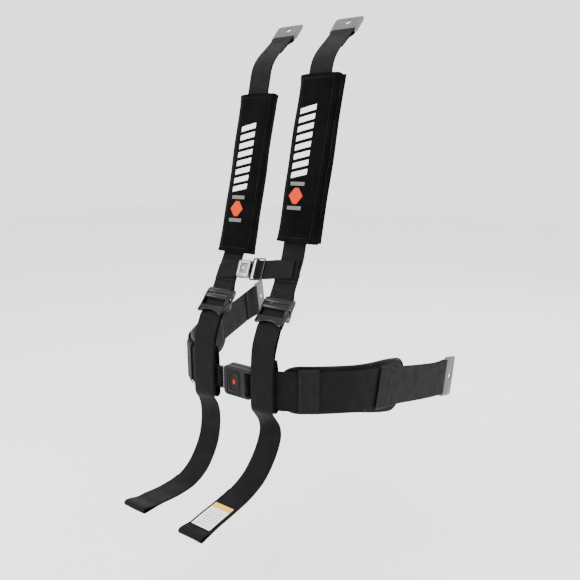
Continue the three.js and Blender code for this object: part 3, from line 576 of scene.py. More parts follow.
TAIL_FRONT = [(-126, 78), (-131, 40), (-132, 5), (-132.5, -30), (-131, -42)]
TAIL_REST = {
    "left": [(-122, -58), (-117, -80), (-118, -107), (-125, -136), (-141, -163),
             (-162, -184), (-192, -197), (-234, -199), (-280, -194), (-316, -193)],
    "right": [(-121, -56), (-110, -73), (-107, -94), (-117, -118), (-133, -139),
              (-158, -160), (-196, -174), (-238, -180), (-284, -184), (-322, -190)],
}
PULL_LOOP = 4.2
FOLD_BACK = 128


def tail_route(side):
    """The free tail, its pull loop and the layer folded back on top, and where that layer starts."""
    x = SIDES[side] * STRAP_X
    start = from_adjuster(-1.7, -ADJUSTER_REACH - GAP)
    down = smooth(in_side(x, [start, *TAIL_FRONT, *TAIL_REST[side]]), 150)
    end = down[-1][1:]
    fold = arc(x, (end[0], end[1] + PULL_LOOP), PULL_LOOP, 270, 90, 12)
    back = down[::-1]
    back = back[distances(back) <= FOLD_BACK]
    folded = beside(back, lambda far: -SEWN - (2 * PULL_LOOP - SEWN) * (1 - smoothstep(far, 0, 30)))
    points = [*down[:-1], *fold, *folded[1:]]
    return Route(points, (-1, 0, 0)), distances(points)[len(down) + len(fold) - 2], folded


LOAD_FRONT, LOAD_REAR = 127.4, 114.8


def load_route(side):
    x = SIDES[side] * STRAP_X
    half = LAP_WIDE / 2
    points = smooth(in_side(x, [
        from_adjuster(4.6, -ADJUSTER_REACH - GAP), (-117, 84), (-125, 60), (-LOAD_FRONT, 42),
        (-LOAD_FRONT, 0), (-LOAD_FRONT, -half + 1), (-LOAD_FRONT + 2, -half - 3.2),
        (-LOAD_FRONT + 6, -half - 4.6), (-LOAD_REAR - 2, -half - 3.2), (-LOAD_REAR, -half + 1),
        (-LOAD_REAR, 0), (-LOAD_REAR, 40),
        (-118.8, 58)]), 120)
    return Route(points, (-1, 0, 0))


LAP_PATH = [(70, -119), (96, -118.4), (112, -111), (138, -95), (170, -71), (199, -38),
            (219, 5), (231, 55), (238, 105), (245, 155), (253, 210), (261, 262)]
LAP_DROP = {
    "left": (0, 0, 0, 0, 0, 0, 0, 2, 8, 18, 28, 38),
    "right": (0, 0, 0, 0, 0, -2, -8, -17, -28, -39, -50, -59),
}
PAD_FROM, PAD_TO = 0.06, 0.66


class LapCurve:
    """The belt's side curve, or one inside it, with its directions at any share of its length."""

    def __init__(self, side, inside=0.0):
        self.sign = SIDES[side]
        path = [np.array(p, float) for p in LAP_PATH]
        points = []
        for i, (x, y) in enumerate(path):
            way = path[min(i + 1, len(path) - 1)] - path[max(i - 1, 0)]
            out = np.array([way[1], -way[0]]) / np.linalg.norm(way)
            points.append((self.sign * (x - out[0] * inside), y - out[1] * inside, LAP_DROP[side][i]))
        self.points = smooth(points, 400)
        self.length = distances(self.points)[-1]
        self.along = directions(self.points)
        lean = np.stack([-self.along[:, 0] * self.along[:, 2], -self.along[:, 1] * self.along[:, 2],
                         1 - self.along[:, 2] ** 2], axis=1)
        self.up = lean / np.linalg.norm(lean, axis=1)[:, None]
        x, y = self.along[:, 0], self.along[:, 1]
        out = np.stack([self.sign * y, -self.sign * x, 0 * x], axis=1)
        self.out = out / np.linalg.norm(out, axis=1)[:, None]

    def pick(self, rows, share):
        at = np.clip(np.asarray(share, float), 0, 1) * (len(self.points) - 1)
        marks = np.arange(len(self.points))
        return np.stack([np.interp(at, marks, rows[:, k]) for k in range(3)], axis=-1)


def lap_end(side):
    curve = LapCurve(side)
    along, up = curve.along[-1], curve.up[-1]
    out = np.cross(along, up) * curve.sign
    out /= np.linalg.norm(out)
    return curve.points[-1] - out * LOOP + along * 8, along, up, out


def bar_loop(x, y, sign, steps=14):
    turn = [math.pi * (0.5 + i / steps) for i in range(steps + 1)]
    return [(x + sign * LOOP * math.cos(a), y + LOOP * math.sin(a), 0) for a in turn]


def lap_route(side):
    """From the layer sewn behind the buckle's bar, round the waist to the anchor."""
    curve = LapCurve(side)
    waist = curve.points[::4]
    centre, along, _, out = lap_end(side)
    turn = [math.pi * (0.5 - i / 14) for i in range(15)]
    loop = [centre + along * LOOP * math.cos(a) + out * LOOP * math.sin(a) for a in turn]
    sewn = out * (LOOP - WEB - GAP)
    back = smooth([loop[-1], centre - along * 12 - out * 2.6, centre - along * 24 + out * 0.4,
                   centre - along * 34 + sewn, centre - along * 46 + sewn], 12)
    if side == "right":
        bar = bar_loop(19, BUCKLE_Y + 5.6, 1)
        front = smooth([bar[-1], (34, -117.6, 0), (50, -119.3, 0), (70, -119, 0)], 12)
        rear = smooth([(64, -117.1, 0), (48, -117.2, 0), (36, -113.6, 0), bar[0]], 10)
        start = [*rear[:-1], *bar, *front[1:-1]]
    else:
        bar = bar_loop(-36, BUCKLE_Y - 3.2, -1)
        rear = smooth([(-63, -118.9, 0), (-47, -118.2, 0), bar[0]], 10)
        front = smooth([bar[-1], (-47, -121.4, 0), (-62, -121.0, 0), (-76, -119.6, 0), (-86, -118.8, 0)], 16)
        waist = waist[waist[:, 0] < -88]
        start = [*rear[:-1], *bar, *front]
    points = np.array([*start, *waist, *loop, *back[1:]])
    behind = np.ones(len(loop) + len(back) - 1)
    share = np.concatenate([np.zeros(len(start)), np.linspace(0, 1, len(waist)), behind])
    return Route(points, -curve.sign * curve.pick(curve.up, share))


# ---------------------------------------------------------------- modelling helpers
def finish_modifiers(piece):
    bpy.context.view_layer.objects.active = piece
    for modifier in list(piece.modifiers):
        bpy.ops.object.modifier_apply(modifier=modifier.name)


def modify(piece, name, kind, **settings):
    """Adds a modifier with its settings; finish_modifiers applies it."""
    made = piece.modifiers.new(name, kind)
    for setting, value in settings.items():
        setattr(made, setting, value)


def only(piece):
    deselect()
    piece.select_set(True)
    bpy.context.view_layer.objects.active = piece


def read(piece):
    co = np.zeros(len(piece.data.vertices) * 3)
    piece.data.vertices.foreach_get("co", co)
    return co.reshape(-1, 3)


def write(piece, co):
    piece.data.vertices.foreach_set("co", np.ascontiguousarray(co, float).ravel())
    piece.data.update()


def write_flat(piece, co):
    """Keeps a piece's flat pattern, in metres, as its UV map."""
    layer = piece.data.uv_layers.get("flat") or piece.data.uv_layers.new(name="flat")
    corner = np.zeros(len(piece.data.loops), np.int32)
    piece.data.loops.foreach_get("vertex_index", corner)
    layer.data.foreach_set("uv", np.ascontiguousarray(co[corner][:, :2], float).ravel())


def smooth_faces(piece, angle=40):
    only(piece)
    bpy.ops.object.shade_smooth_by_angle(angle=math.radians(angle))


def paint(piece, look):
    piece.data.materials.clear()
    piece.data.materials.append(LOOKS[look])


def flat_strip(name, rows, wide, thick, columns=8, soften=0.5):
    """A strip lying flat from Y 0, one row of faces between each two marks in rows."""
    deselect()
    bpy.ops.mesh.primitive_grid_add(x_subdivisions=columns, y_subdivisions=len(rows) - 1, size=1)
    piece = bpy.context.object
    piece.name = name
    while piece.data.uv_layers:
        piece.data.uv_layers.remove(piece.data.uv_layers[0])
    co = read(piece)
    mark = np.rint((co[:, 1] + 0.5) * (len(rows) - 1)).astype(int)
    co[:, 1] = np.array(rows)[mark] * MM
    co[:, 0] *= wide * MM
    write(piece, co)
    modify(piece, "thickness", "SOLIDIFY", thickness=thick * MM, offset=0)
    modify(piece, "selvedge", "BEVEL", width=soften * MM, segments=2,
           limit_method="ANGLE", angle_limit=math.radians(50))
    finish_modifiers(piece)
    write_flat(piece, read(piece))
    return piece


def lay(piece, route, gather=None, lift=None):
    """Bends a flat piece along a route. gather(s) narrows it and lift(x, s) raises it."""
    co = read(piece) / MM
    x, y, z = co[:, 0], co[:, 1], co[:, 2]
    if lift is not None:
        z = z + lift(x, y)
    if gather is not None:
        x = x * gather(y)
    write(piece, route.to(x, y, z) * MM)
    return piece


def strip(name, route, wide, look="webbing", thick=WEB, gather=None, lift=None, columns=8):
    piece = flat_strip(name, route.far, wide, thick, columns)
    lay(piece, route, gather, lift)
    smooth_faces(piece)
    paint(piece, look)
    return piece


def one_stitch(long, wide=0.55):
    deselect()
    bpy.ops.mesh.primitive_uv_sphere_add(segments=6, ring_count=4, radius=0.5)
    stitch = bpy.context.object
    bpy.ops.transform.rotate(value=math.radians(90), orient_axis="X", center_override=(0, 0, 0))
    bpy.ops.object.transform_apply(location=False, rotation=True, scale=False)
    bpy.ops.transform.resize(value=(wide * MM, long * MM, wide * MM * 0.8))
    bpy.ops.object.transform_apply(location=False, rotation=False, scale=True)
    return stitch


def sew(name, rows, height, pitch=3.3, long=2.5):
    """Straight rows of stitches on a flat pattern, each from (x, y) to (x, y), all one mesh."""
    stitch = one_stitch(long)
    shape = read(stitch)
    faces = [list(f.vertices) for f in stitch.data.polygons]
    spots, all_faces = [], []
    for (x0, y0), (x1, y1) in rows:
        count = max(1, round(math.dist((x0, y0), (x1, y1)) / pitch))
        turn = math.atan2(-(x1 - x0), y1 - y0)
        c, s = math.cos(turn), math.sin(turn)
        x, y, z = shape.T
        turned = np.stack([x * c - y * s, x * s + y * c, z], axis=1)
        for i in range(count):
            share = (i + 0.5) / count
            at = np.array([x0 + (x1 - x0) * share, y0 + (y1 - y0) * share, height]) * MM
            all_faces += [[v + len(spots) * len(shape) for v in f] for f in faces]
            spots.append(turned + at)
    stitch.data.clear_geometry()
    stitch.data.from_pydata(np.vstack(spots), [], all_faces)
    stitch.name = name
    write_flat(stitch, read(stitch))
    smooth_faces(stitch, 80)
    paint(stitch, "thread")
    return stitch


def box_and_cross(x, low, high, cross=True):
    """A sewn rectangle, with a cross in it."""
    rows = [((-x, low), (x, low)), ((-x, high), (x, high)), ((-x, low), (-x, high)), ((x, low), (x, high))]
    if cross:
        rows += [((-x, low), (x, high)), ((-x, high), (x, low))]
    return rows


def set_on(piece, body, *nodes, slot=None):
    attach(piece, body)
    if nodes:
        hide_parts(*nodes)
    return piece


def sew_on(name, rows, height, route, lift=None):
    """Stitches on a strip that stays with the harness itself."""
    thread = lay(sew(name, rows, height), route, lift=lift)
    set_on(thread, "root", slot="web_black")


# ---------------------------------------------------------------- padded pieces
def swell(piece, voxel, most, pressure=4.0):
    """Remeshes a closed flat pad evenly and blows it up a little, no point moving more than most."""
    only(piece)
    modify(piece, "even cloth", "REMESH", mode="VOXEL", voxel_size=voxel * MM)
    finish_modifiers(piece)
    start = read(piece)
    cloth = piece.modifiers.new("cloth", "CLOTH")
    cloth.settings.quality = 6
    cloth.settings.mass = 0.2
    cloth.settings.use_pressure = True
    cloth.settings.uniform_pressure_force = pressure
    cloth.settings.effector_weights.gravity = 0
    cloth.point_cache.frame_start = 1
    cloth.point_cache.frame_end = 20
    scene = bpy.context.scene
    for number in range(1, 21):
        scene.frame_set(number)
    blown = piece.evaluated_get(bpy.context.evaluated_depsgraph_get())
    moved = np.array([v.co for v in blown.data.vertices])
    piece.modifiers.remove(cloth)
    scene.frame_set(1)
    way = moved - start
    far = np.linalg.norm(way, axis=1)
    write(piece, start + way * np.minimum(1, most * MM / np.maximum(far, 1e-9))[:, None])
    return piece


def refine(piece):
    """One subdivision, and a little relaxing of the voxel steps."""
    modify(piece, "relax", "SMOOTH", factor=0.5, iterations=3)
    modify(piece, "finer", "SUBSURF", levels=1, render_levels=1)
    finish_modifiers(piece)
    return piece


def pad_block(name, wide, low, high, thick, corner):
    deselect()
    middle = (low + high) / 2
    bpy.ops.mesh.primitive_cube_add(size=1, location=(0, middle * MM, 0))
    piece = bpy.context.object
    piece.name = name
    bpy.ops.transform.resize(value=(wide * MM, (high - low) * MM, thick * MM))
    bpy.ops.object.transform_apply(location=True, rotation=False, scale=True)
    modify(piece, "round", "BEVEL", width=corner * MM, segments=5)
    finish_modifiers(piece)
    return piece


PAD_LOW = {"left": -13, "right": 18}
PAD_SHIFT = {"left": 5, "right": 3}
PAD_WALL = 2.6


def to_full_section(co, half_wide, half_thick, power=0.6, kept=0.6):
    """Carries the blown-up sleeve's creases over to a full, flat-fronted section."""
    x, z = co[:, 0] / half_wide, co[:, 2] / half_thick
    turn, reach = np.arctan2(z, x), np.hypot(x, z)
    sector = ((turn + math.pi) / (2 * math.pi) * 40).astype(int) % 40
    usual = np.array([np.median(reach[sector == i]) for i in range(40)])[sector]
    crease = 1 + kept * np.clip(reach / usual - 1, -0.05, 0.03)
    mouth = 1 + 0.035 * (1 - smoothstep(np.minimum(co[:, 1], PAD_LONG - co[:, 1]), 0, 18))
    co = co.copy()
    for axis, half, share in ((0, half_wide, np.cos(turn)), (2, half_thick, np.sin(turn))):
        co[:, axis] = np.sign(share) * np.abs(share) ** power * half * crease * (mouth if axis == 0 else 1)
    return co


def pad_sleeve(side):
    """The felt sleeve, swollen as one closed pillow, then cut open at both ends and given its wall."""
    piece = pad_block(f"{side}_pad_sleeve", PAD_WIDE - 5, -8, PAD_LONG + 8, PAD_THICK - 5, 8)
    swell(piece, 5, 3.2)
    refine(piece)
    only(piece)
    bpy.ops.object.mode_set(mode="EDIT")
    for y, way in ((0.3, -1), (PAD_LONG - 0.3, 1)):
        bpy.ops.mesh.select_all(action="SELECT")
        bpy.ops.mesh.bisect(plane_co=(0, y * MM, 0), plane_no=(0, way, 0), clear_outer=True)
    bpy.ops.mesh.select_all(action="SELECT")
    bpy.ops.mesh.normals_make_consistent(inside=False)
    bpy.ops.object.mode_set(mode="OBJECT")
    co = read(piece) / MM
    co = to_full_section(co, PAD_WIDE / 2 * 1.035, PAD_THICK / 2)
    x, y, z = co.T
    lean = np.sign(SIDES[side])
    co[:, 0] += 0.8 * np.sin(y / 47 + lean) + 0.5 * np.sin(y / 19)
    front = smoothstep(z, 4, 11)
    co[:, 2] += front * (0.7 * np.sin(y / 31 + 1.3 * lean) * np.cos(x / 24) - 0.5)
    edge_line = np.abs(np.abs(x) - (PAD_WIDE / 2 - 6))
    co[:, 2] -= np.sign(z) * 0.7 * (1 - smoothstep(edge_line, 0, 3)) * smoothstep(np.abs(z), 3, 7)
    end_line = np.minimum(np.abs(y - 8), np.abs(y - PAD_LONG + 8))
    co[:, 2] -= np.sign(z) * 0.8 * (1 - smoothstep(end_line, 0, 3.5)) * smoothstep(np.abs(z), 3, 7)
    write(piece, co * MM)
    modify(piece, "wall", "SOLIDIFY", thickness=PAD_WALL * MM, offset=-1)
    finish_modifiers(piece)
    write_flat(piece, read(piece))
    smooth_faces(piece, 50)
    paint(piece, "felt")
    return piece


def on_pad(piece, cover, height=0.35, thick=0.7):
    """Drops a flat piece onto the front of a flat pad and gives it thickness."""
    only(piece)
    modify(piece, "rest", "SHRINKWRAP", target=cover, wrap_method="PROJECT", use_project_x=False,
           use_project_y=False, use_project_z=True, use_negative_direction=True,
           use_positive_direction=False, offset=height * MM)
    modify(piece, "thread", "SOLIDIFY", thickness=thick * MM, offset=0)
    modify(piece, "soft", "BEVEL", width=0.3 * MM, segments=2,
           limit_method="ANGLE", angle_limit=math.radians(50))
    finish_modifiers(piece)
    return piece


def patch(x, y, wide, long, slant=0.0, nip=0.0):
    """A flat patch above the pad, slanted, with its ends nipped in."""
    deselect()
    bpy.ops.mesh.primitive_grid_add(x_subdivisions=10, y_subdivisions=6, size=1, location=(0, 0, 0))
    piece = bpy.context.object
    while piece.data.uv_layers:
        piece.data.uv_layers.remove(piece.data.uv_layers[0])
    co = read(piece)
    across, along = co[:, 0].copy(), co[:, 1].copy()
    co[:, 0] = (x + across * wide * (1 - nip * 2 * np.abs(along))) * MM
    co[:, 1] = (y + along * long + across * wide * slant) * MM
    co[:, 2] = 40 * MM
    write(piece, co)
    return piece


def joined(name, parts, look):
    deselect()
    for part in parts:
        part.select_set(True)
    bpy.context.view_layer.objects.active = parts[0]
    if len(parts) > 1:
        bpy.ops.object.join()
    piece = bpy.context.object
    piece.name = name
    write_flat(piece, read(piece))
    paint(piece, look)
    smooth_faces(piece, 50)
    return piece


MARKS_AT = {"left": -5, "right": -9}      # middle of the embroidery, across each pad


def embroidery(side, cover):
    """A plain ladder of slanted white bars, then an orange lozenge between two grey bars."""
    x = MARKS_AT[side]
    white = [patch(x, 126 + 17.0 * i, 34, 10.4, 0.22) for i in range(8)]
    grey = [patch(x, y, 31, 7, 0.0, 0.0) for y in (62, 107)]
    orange = [patch(x, 84.5, 31, 30, 0.0, 0.72)]
    made = []
    for name, parts, look in (("white_bars", white, "white_thread"), ("grey_bars", grey, "grey_thread"),
                              ("orange_lozenge", orange, "orange_thread")):
        made.append(joined(f"{side}_pad_{name}", [on_pad(p, cover) for p in parts], look))
    return made


RUN_SPARE = 10                    # the run goes on this far past both ends of the pad
RIM_IN, MOUTH_IN = 6, 8           # seams along the sleeve's edges and round its ends
FOAM_WIDE, FOAM_THICK, FOAM_OUT = 54, 5.4, 4.5


def run_route(x, low):
    """The straight run under a pad, from the pad's lower end."""
    points = [(x, *step(RUN_LOW, RUN_DEG, low + far)) for far in np.linspace(-RUN_SPARE, PAD_LONG + RUN_SPARE, 66)]
    return Route(points, (1, 0, 0))


def build_shoulder_pad(side):
    x = SIDES[side] * STRAP_X + PAD_SHIFT[side]
    route = run_route(x, PAD_LOW[side])
    body = f"{side}_shoulder_pad"
    cover = pad_sleeve(side)
    marks = embroidery(side, cover)
    rim = PAD_WIDE / 2 - RIM_IN
    seam = sew(f"{side}_pad_seams", [((s * rim, RIM_IN), (s * rim, PAD_LONG - RIM_IN)) for s in (-1, 1)]
               + [((-rim, y), (rim, y)) for y in (MOUTH_IN, PAD_LONG - MOUTH_IN)], 0, long=2.6, pitch=3.6)
    drop_on(seam, cover)
    flap = flap_piece(side)
    seam_x = PAD_WIDE / 2 + 4.5 if side == "right" else FLAP_IN - PAD_WIDE / 2
    flap_seam = sew(f"{side}_pad_closure_stitching", [((seam_x, 5), (seam_x, PAD_LONG - 5))], 2.1)
    if side == "left":
        write(flap_seam, read(flap_seam) * np.array([1, 1, -1]) - np.array([0, 0, (PAD_THICK / 2 + 2) * MM]))
    foams = []
    for place, out in (("front", 1), ("back", -1)):
        foam = pad_block(f"{side}_pad_{place}_foam", FOAM_WIDE, RIM_IN, PAD_LONG - RIM_IN, FOAM_THICK, 1.6)
        write(foam, read(foam) + np.array([0, 0, out * FOAM_OUT * MM]))
        write_flat(foam, read(foam))
        smooth_faces(foam)
        paint(foam, "foam")
        foams.append((foam, f"{side}_shoulder_pad_{place}_foam"))
    shift = lambda piece: write(piece, read(piece) + np.array([0, RUN_SPARE * MM, 0]))
    for piece in (cover, *marks, seam, flap, flap_seam, *[f for f, _ in foams]):
        shift(piece)
        lay(piece, route)
    set_on(cover, body, f"{side}_shoulder_pad_cover", slot="pad_cloth")
    for piece in (*marks, seam, flap_seam):
        set_on(piece, body, slot="pad_cloth")
    set_on(flap, body, f"{side}_shoulder_pad_closure", slot="pad_cloth")
    for foam, node in foams:
        set_on(foam, body, node, slot="pad_foam")


STITCH_POINTS = 20                # vertices in one stitch


def drop_on(piece, cover):
    """Moves each loose stitch down or up onto the cover's front."""
    tree = BVHTree.FromObject(cover, bpy.context.evaluated_depsgraph_get())
    co = read(piece)
    for first in range(0, len(co), STITCH_POINTS):
        last = first + STITCH_POINTS
        middle = co[first:last].mean(axis=0)
        hit = tree.ray_cast(Vector((middle[0], middle[1], 0.05)), Vector((0, 0, -1)))
        if hit[0] is not None:
            co[first:last, 2] += hit[0].z + 0.15 * MM - middle[2]
    write(piece, co)


def flap_piece(side):
    """The sleeve's hook-and-loop closure: pressed flat beside the right sleeve, folded behind the left."""
    rows = np.linspace(2, PAD_LONG - 2, 90)
    flap = flat_strip(f"{side}_pad_closure", rows, 18 if side == "right" else 14, 3.6, 6, 1.1)
    co = read(flap) / MM
    co[:, 0] += PAD_WIDE / 2 + 3.2 if side == "right" else FLAP_IN - PAD_WIDE / 2
    co[:, 0] += 0.4 * np.sin(co[:, 1] / 23 + SIDES[side])
    co[:, 2] += 0.5 * np.sin(co[:, 1] / 34 + 0.6) - (0 if side == "right" else PAD_THICK / 2 + 1.4)
    write(flap, co * MM)
    write_flat(flap, read(flap))
    smooth_faces(flap)
    paint(flap, "felt")
    return flap


def hip_half_height(share):
    ends = np.clip(np.minimum(share, 1 - share) / 0.12, 0, 1)
    waist = 44 + 7.5 * smoothstep(share, 0.45, 0.85)
    return 20 + (waist - 20) * np.sqrt(np.maximum(0, 1 - (1 - ends) ** 2))


class HipPlace:
    """Lays a flat hip pad, Y along the belt and X up it, on the inside of the lap belt."""

    def __init__(self, side, inside):
        self.curve = LapCurve(side, inside)
        self.sign = SIDES[side]
        self.long = (PAD_TO - PAD_FROM) * self.curve.length

    def to(self, x, y, z):
        share = PAD_FROM + (PAD_TO - PAD_FROM) * y / self.long
        pick = lambda rows: self.curve.pick(rows, share)
        up = -self.sign * x
        return pick(self.curve.points) + pick(self.curve.up) * up[:, None] + pick(self.curve.out) * z[:, None]


FLANGE = 8


def hip_depth(x, y, long):
    """How far a point of the flat pad lies inside its outline."""
    share = np.clip(y / long, 0, 1)
    return np.minimum(hip_half_height(share) - np.abs(x), np.minimum(y, long - y))


def to_outline(co, long):
    """Stretches the blown-up pad back out to its sewn edge."""
    y = co[:, 1]
    co[:, 1] = 1.2 + (y - y.min()) / (y.max() - y.min()) * (long - 2.4)
    marks = np.linspace(0, long, 61)
    slot = np.clip(np.round(co[:, 1] / long * 60).astype(int), 0, 60)
    widest = np.array([np.abs(co[slot == i, 0]).max() if np.any(slot == i) else 20.0 for i in range(61)])
    full = hip_half_height(np.clip(marks / long, 0, 1)) - 1.2
    co[:, 0] *= np.interp(co[:, 1], marks, full / np.maximum(widest, 6))
    return co


def build_hip_pad(side):
    place = HipPlace(side, WEB / 2 + GAP + 0.15 + HIP_THICK / 2)
    long = place.long
    deselect()
    bpy.ops.mesh.primitive_grid_add(x_subdivisions=22, y_subdivisions=60, size=1)
    pad = bpy.context.object
    pad.name = f"{side}_hip_pad_body"
    co = read(pad)
    share = co[:, 1] + 0.5
    co[:, 0] *= 2 * (hip_half_height(share) - 1.6) * MM
    co[:, 1] = (1.6 + share * (long - 3.2)) * MM
    write(pad, co)
    modify(pad, "thickness", "SOLIDIFY", thickness=HIP_FLAT * MM, offset=0)
    finish_modifiers(pad)
    swell(pad, 4.5, 3.0)
    refine(pad)
    co = to_outline(read(pad) / MM, long)
    x, y, z = co.T
    depth = hip_depth(x, y, long)
    most = 1.5 + (HIP_THICK / 2 - 1.5) * smoothstep(depth, FLANGE - 1.5, FLANGE + 7)
    under_belt = smoothstep(LAP_WIDE / 2 + 1 - np.abs(x), -4, 3)
    bulge = 1.6 * (1 - under_belt) * smoothstep(depth, FLANGE, FLANGE + 8)
    puff = 0.5 * np.sin(y / 17) * np.cos(x / 13) * smoothstep(depth, 8, 16)
    top = np.minimum(most, HIP_THICK / 2 - 0.15) + np.where(z > 0, bulge, 0.9 * smoothstep(depth, 10, 22)) + (
        puff * (1 - under_belt))
    co[:, 2] = np.sign(z) * top * np.clip(np.abs(z) / 3.2, 0, 1)
    write(pad, co * MM)
    write_flat(pad, read(pad))
    outline = hip_outline(long)
    binding = hip_binding(side, outline)
    inner = [(x * (1 - FLANGE / max(abs(x), FLANGE + 1)) if abs(x) > 14 else x, y)
             for x, y in hip_outline(long, FLANGE)]
    seams = [(inner[i], inner[(i + 1) % len(inner)]) for i in range(len(inner))]
    seam = sew(f"{side}_hip_pad_stitching", seams, 1.9, pitch=3.4)
    for piece in (pad, binding, seam):
        lay(piece, place)
        smooth_faces(piece, 60)
    paint(pad, "hip_cloth")
    set_on(pad, "root", f"{side}_hip_pad", slot="hip_cloth")
    set_on(binding, "root", slot="hip_cloth")
    set_on(seam, "root", slot="hip_cloth")
    for number, share in KEEPERS:
        build_keeper(side, number, PAD_FROM + (PAD_TO - PAD_FROM) * share)


def hip_outline(long, inset=0.0, count=46):
    """Points round the flat pad's edge, a fixed way in from it."""
    shares = 0.5 - 0.5 * np.cos(np.linspace(0, math.pi, count))
    near, far = inset, long - inset
    y = near + shares * (far - near)
    half = hip_half_height(np.clip(y / long, 0, 1)) - inset
    return [(h, v) for h, v in zip(half, y)] + [(-h, v) for h, v in zip(half[::-1], y[::-1])]


def hip_binding(side, outline):
    """Binding tape folded over the pad's edge."""
    deselect()
    bpy.ops.curve.primitive_nurbs_path_add()
    line = bpy.context.object
    line.data.splines.clear()
    spline = line.data.splines.new("POLY")
    spline.points.add(len(outline) - 1)
    for spot, (x, y) in zip(spline.points, outline):
        spot.co = (x * MM, y * MM, 0, 1)
    spline.use_cyclic_u = True
    line.data.dimensions = "3D"
    line.data.bevel_depth = 2.0 * MM
    line.data.bevel_resolution = 3
    bpy.ops.object.convert(target="MESH")
    tape = bpy.context.object
    tape.name = f"{side}_hip_pad_binding"
    write_flat(tape, read(tape))
    paint(tape, "binding")
    return tape


def build_keeper(side, number, t):
    """A flat webbing loop over the lap belt, its ends sewn to the pad with zigzag rows."""
    curve = LapCurve(side)
    at, along = curve.pick(curve.points, t), curve.pick(curve.along, t)
    up, out = curve.pick(curve.up, t), curve.pick(curve.out, t)
    over = WEB + GAP + 1.3
    half = LAP_WIDE / 2
    rise = [(half + 4.2, 0.2), (half + 2.4, over - 1.0), (half - 1, over + 0.1), (half / 2, over + 0.3)]
    profile = [*[(-u, o) for u, o in rise], (0, over + 0.5), *rise[::-1]]
    line = smooth([at + up * u + out * o for u, o in profile], 40)
    sign = SIDES[side]
    route = Route(line, sign * along)
    wide = 38
    keeper = strip(f"{side}_hip_keeper_{number}_webbing", route, wide, "keeper")
    zigzag = []
    for edge in (-wide / 2 + 4, wide / 2 - 4):
        marks = np.arange(6, route.length - 6, 2.6)
        zigzag += [((edge + (1.3 if i % 2 else -1.3), a), (edge + (-1.3 if i % 2 else 1.3), b))
                   for i, (a, b) in enumerate(zip(marks, marks[1:]))]
    zigzag += [((-wide / 2 + 3, y), (wide / 2 - 3, y)) for y in (4.5, route.length - 4.5)]
    thread = sew(f"{side}_hip_keeper_{number}_zigzag", zigzag, THREAD_OUT, pitch=3)
    lay(thread, route)
    set_on(keeper, "root", f"{side}_hip_keeper_{number}", slot="web_black")
    set_on(thread, "root", slot="web_black")


# ---------------------------------------------------------------- belts
def build_shoulder_belt(side):
    route, start = shoulder_route(side)
    ripple = lambda x, s: 0.25 * np.sin(s / 29) * np.cos(x / 11)
    belt = strip(f"{side}_shoulder_belt", route, STRAP_WIDE, lift=ripple)
    set_on(belt, "root", f"{side}_shoulder_webbing", slot="web_black")
    rows = box_and_cross(19, start + 7, start + 21)
    end = route.length - 56
    loop_top = end - 13
    rows += box_and_cross(19, loop_top - 50, loop_top - 22)
    sew_on(f"{side}_shoulder_belt_stitching", rows, THREAD_OUT, route)
    build_chest_patch(side)


CHEST_UP = 53


def build_chest_patch(side):
    middle = CHEST_UP + 7 * SIDES[side]
    x = SIDES[side] * STRAP_X
    line = [(x, *step(CHEST_LOW, CHEST_DEG, middle + far)) for far in np.linspace(-24, 8, 9)]
    route = Route(beside(line, lambda far: -SEWN), (1, 0, 0))
    piece = strip(f"{side}_chest_patch_webbing", route, STRAP_WIDE - 1)
    set_on(piece, "root", f"{side}_chest_patch", slot="web_black")
    sew_on(f"{side}_chest_patch_stitching", box_and_cross(19, 3, 29), THREAD_OUT, route)


def bend_with_adjuster(piece):
    """Bakes the piece's transform into its mesh."""
    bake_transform(piece)


def build_adjuster_belt(side):
    route = adjuster_route(side)
    belt = strip(f"{side}_adjuster_belt", route, STRAP_WIDE - 0.6, thick=WEB - 0.1)
    set_on(belt, f"{side}_lock_bar", f"{side}_adjuster_webbing", slot="web_black")
    load = load_route(side)
    ripple = lambda x, s: 0.2 * np.sin(s / 21 + 1)
    piece = strip(f"{side}_load_belt", load, STRAP_WIDE, lift=ripple)
    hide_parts(f"{side}_load_webbing")
    bend_with_adjuster(piece)


def build_tail(side):
    route, fold_at, folded = tail_route(side)
    sag = lambda x, s: 0.5 * np.sin(s / 37 + SIDES[side]) * np.cos(x / 16) * smoothstep(s, 150, 200)
    tail = strip(f"{side}_tail_belt", route, STRAP_WIDE, lift=sag)
    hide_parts(f"{side}_tail_webbing")
    bend_with_adjuster(tail)
    rows = box_and_cross(20, fold_at + 94, fold_at + 122)
    rows += [((-20, fold_at + far), (20, fold_at + far)) for far in (12, 15)]
    sew_on(f"{side}_tail_stitching", rows, THREAD_OUT, route, lift=sag)
    if side == "right":
        build_label(folded)


LABEL_FROM, LABEL_LONG, LABEL_WIDE, LABEL_THICK = 22, 66, 40, 0.6


def build_label(folded):
    far = distances(folded)
    kept = folded[(far >= LABEL_FROM) & (far <= LABEL_FROM + LABEL_LONG)]
    line = beside(kept, lambda f: -WEB / 2 - GAP - LABEL_THICK / 2)
    route = Route(line, (-1, 0, 0))
    label = strip("right_tail_label_cloth", route, LABEL_WIDE, "label", LABEL_THICK)
    set_on(label, "root", "right_tail_label", slot="label_cloth")
    x = LABEL_WIDE / 2 - 1.6
    border = box_and_cross(x, 1.6, route.length - 1.6, False)
    sew_on("right_tail_label_stitching", border, 0.5, route)


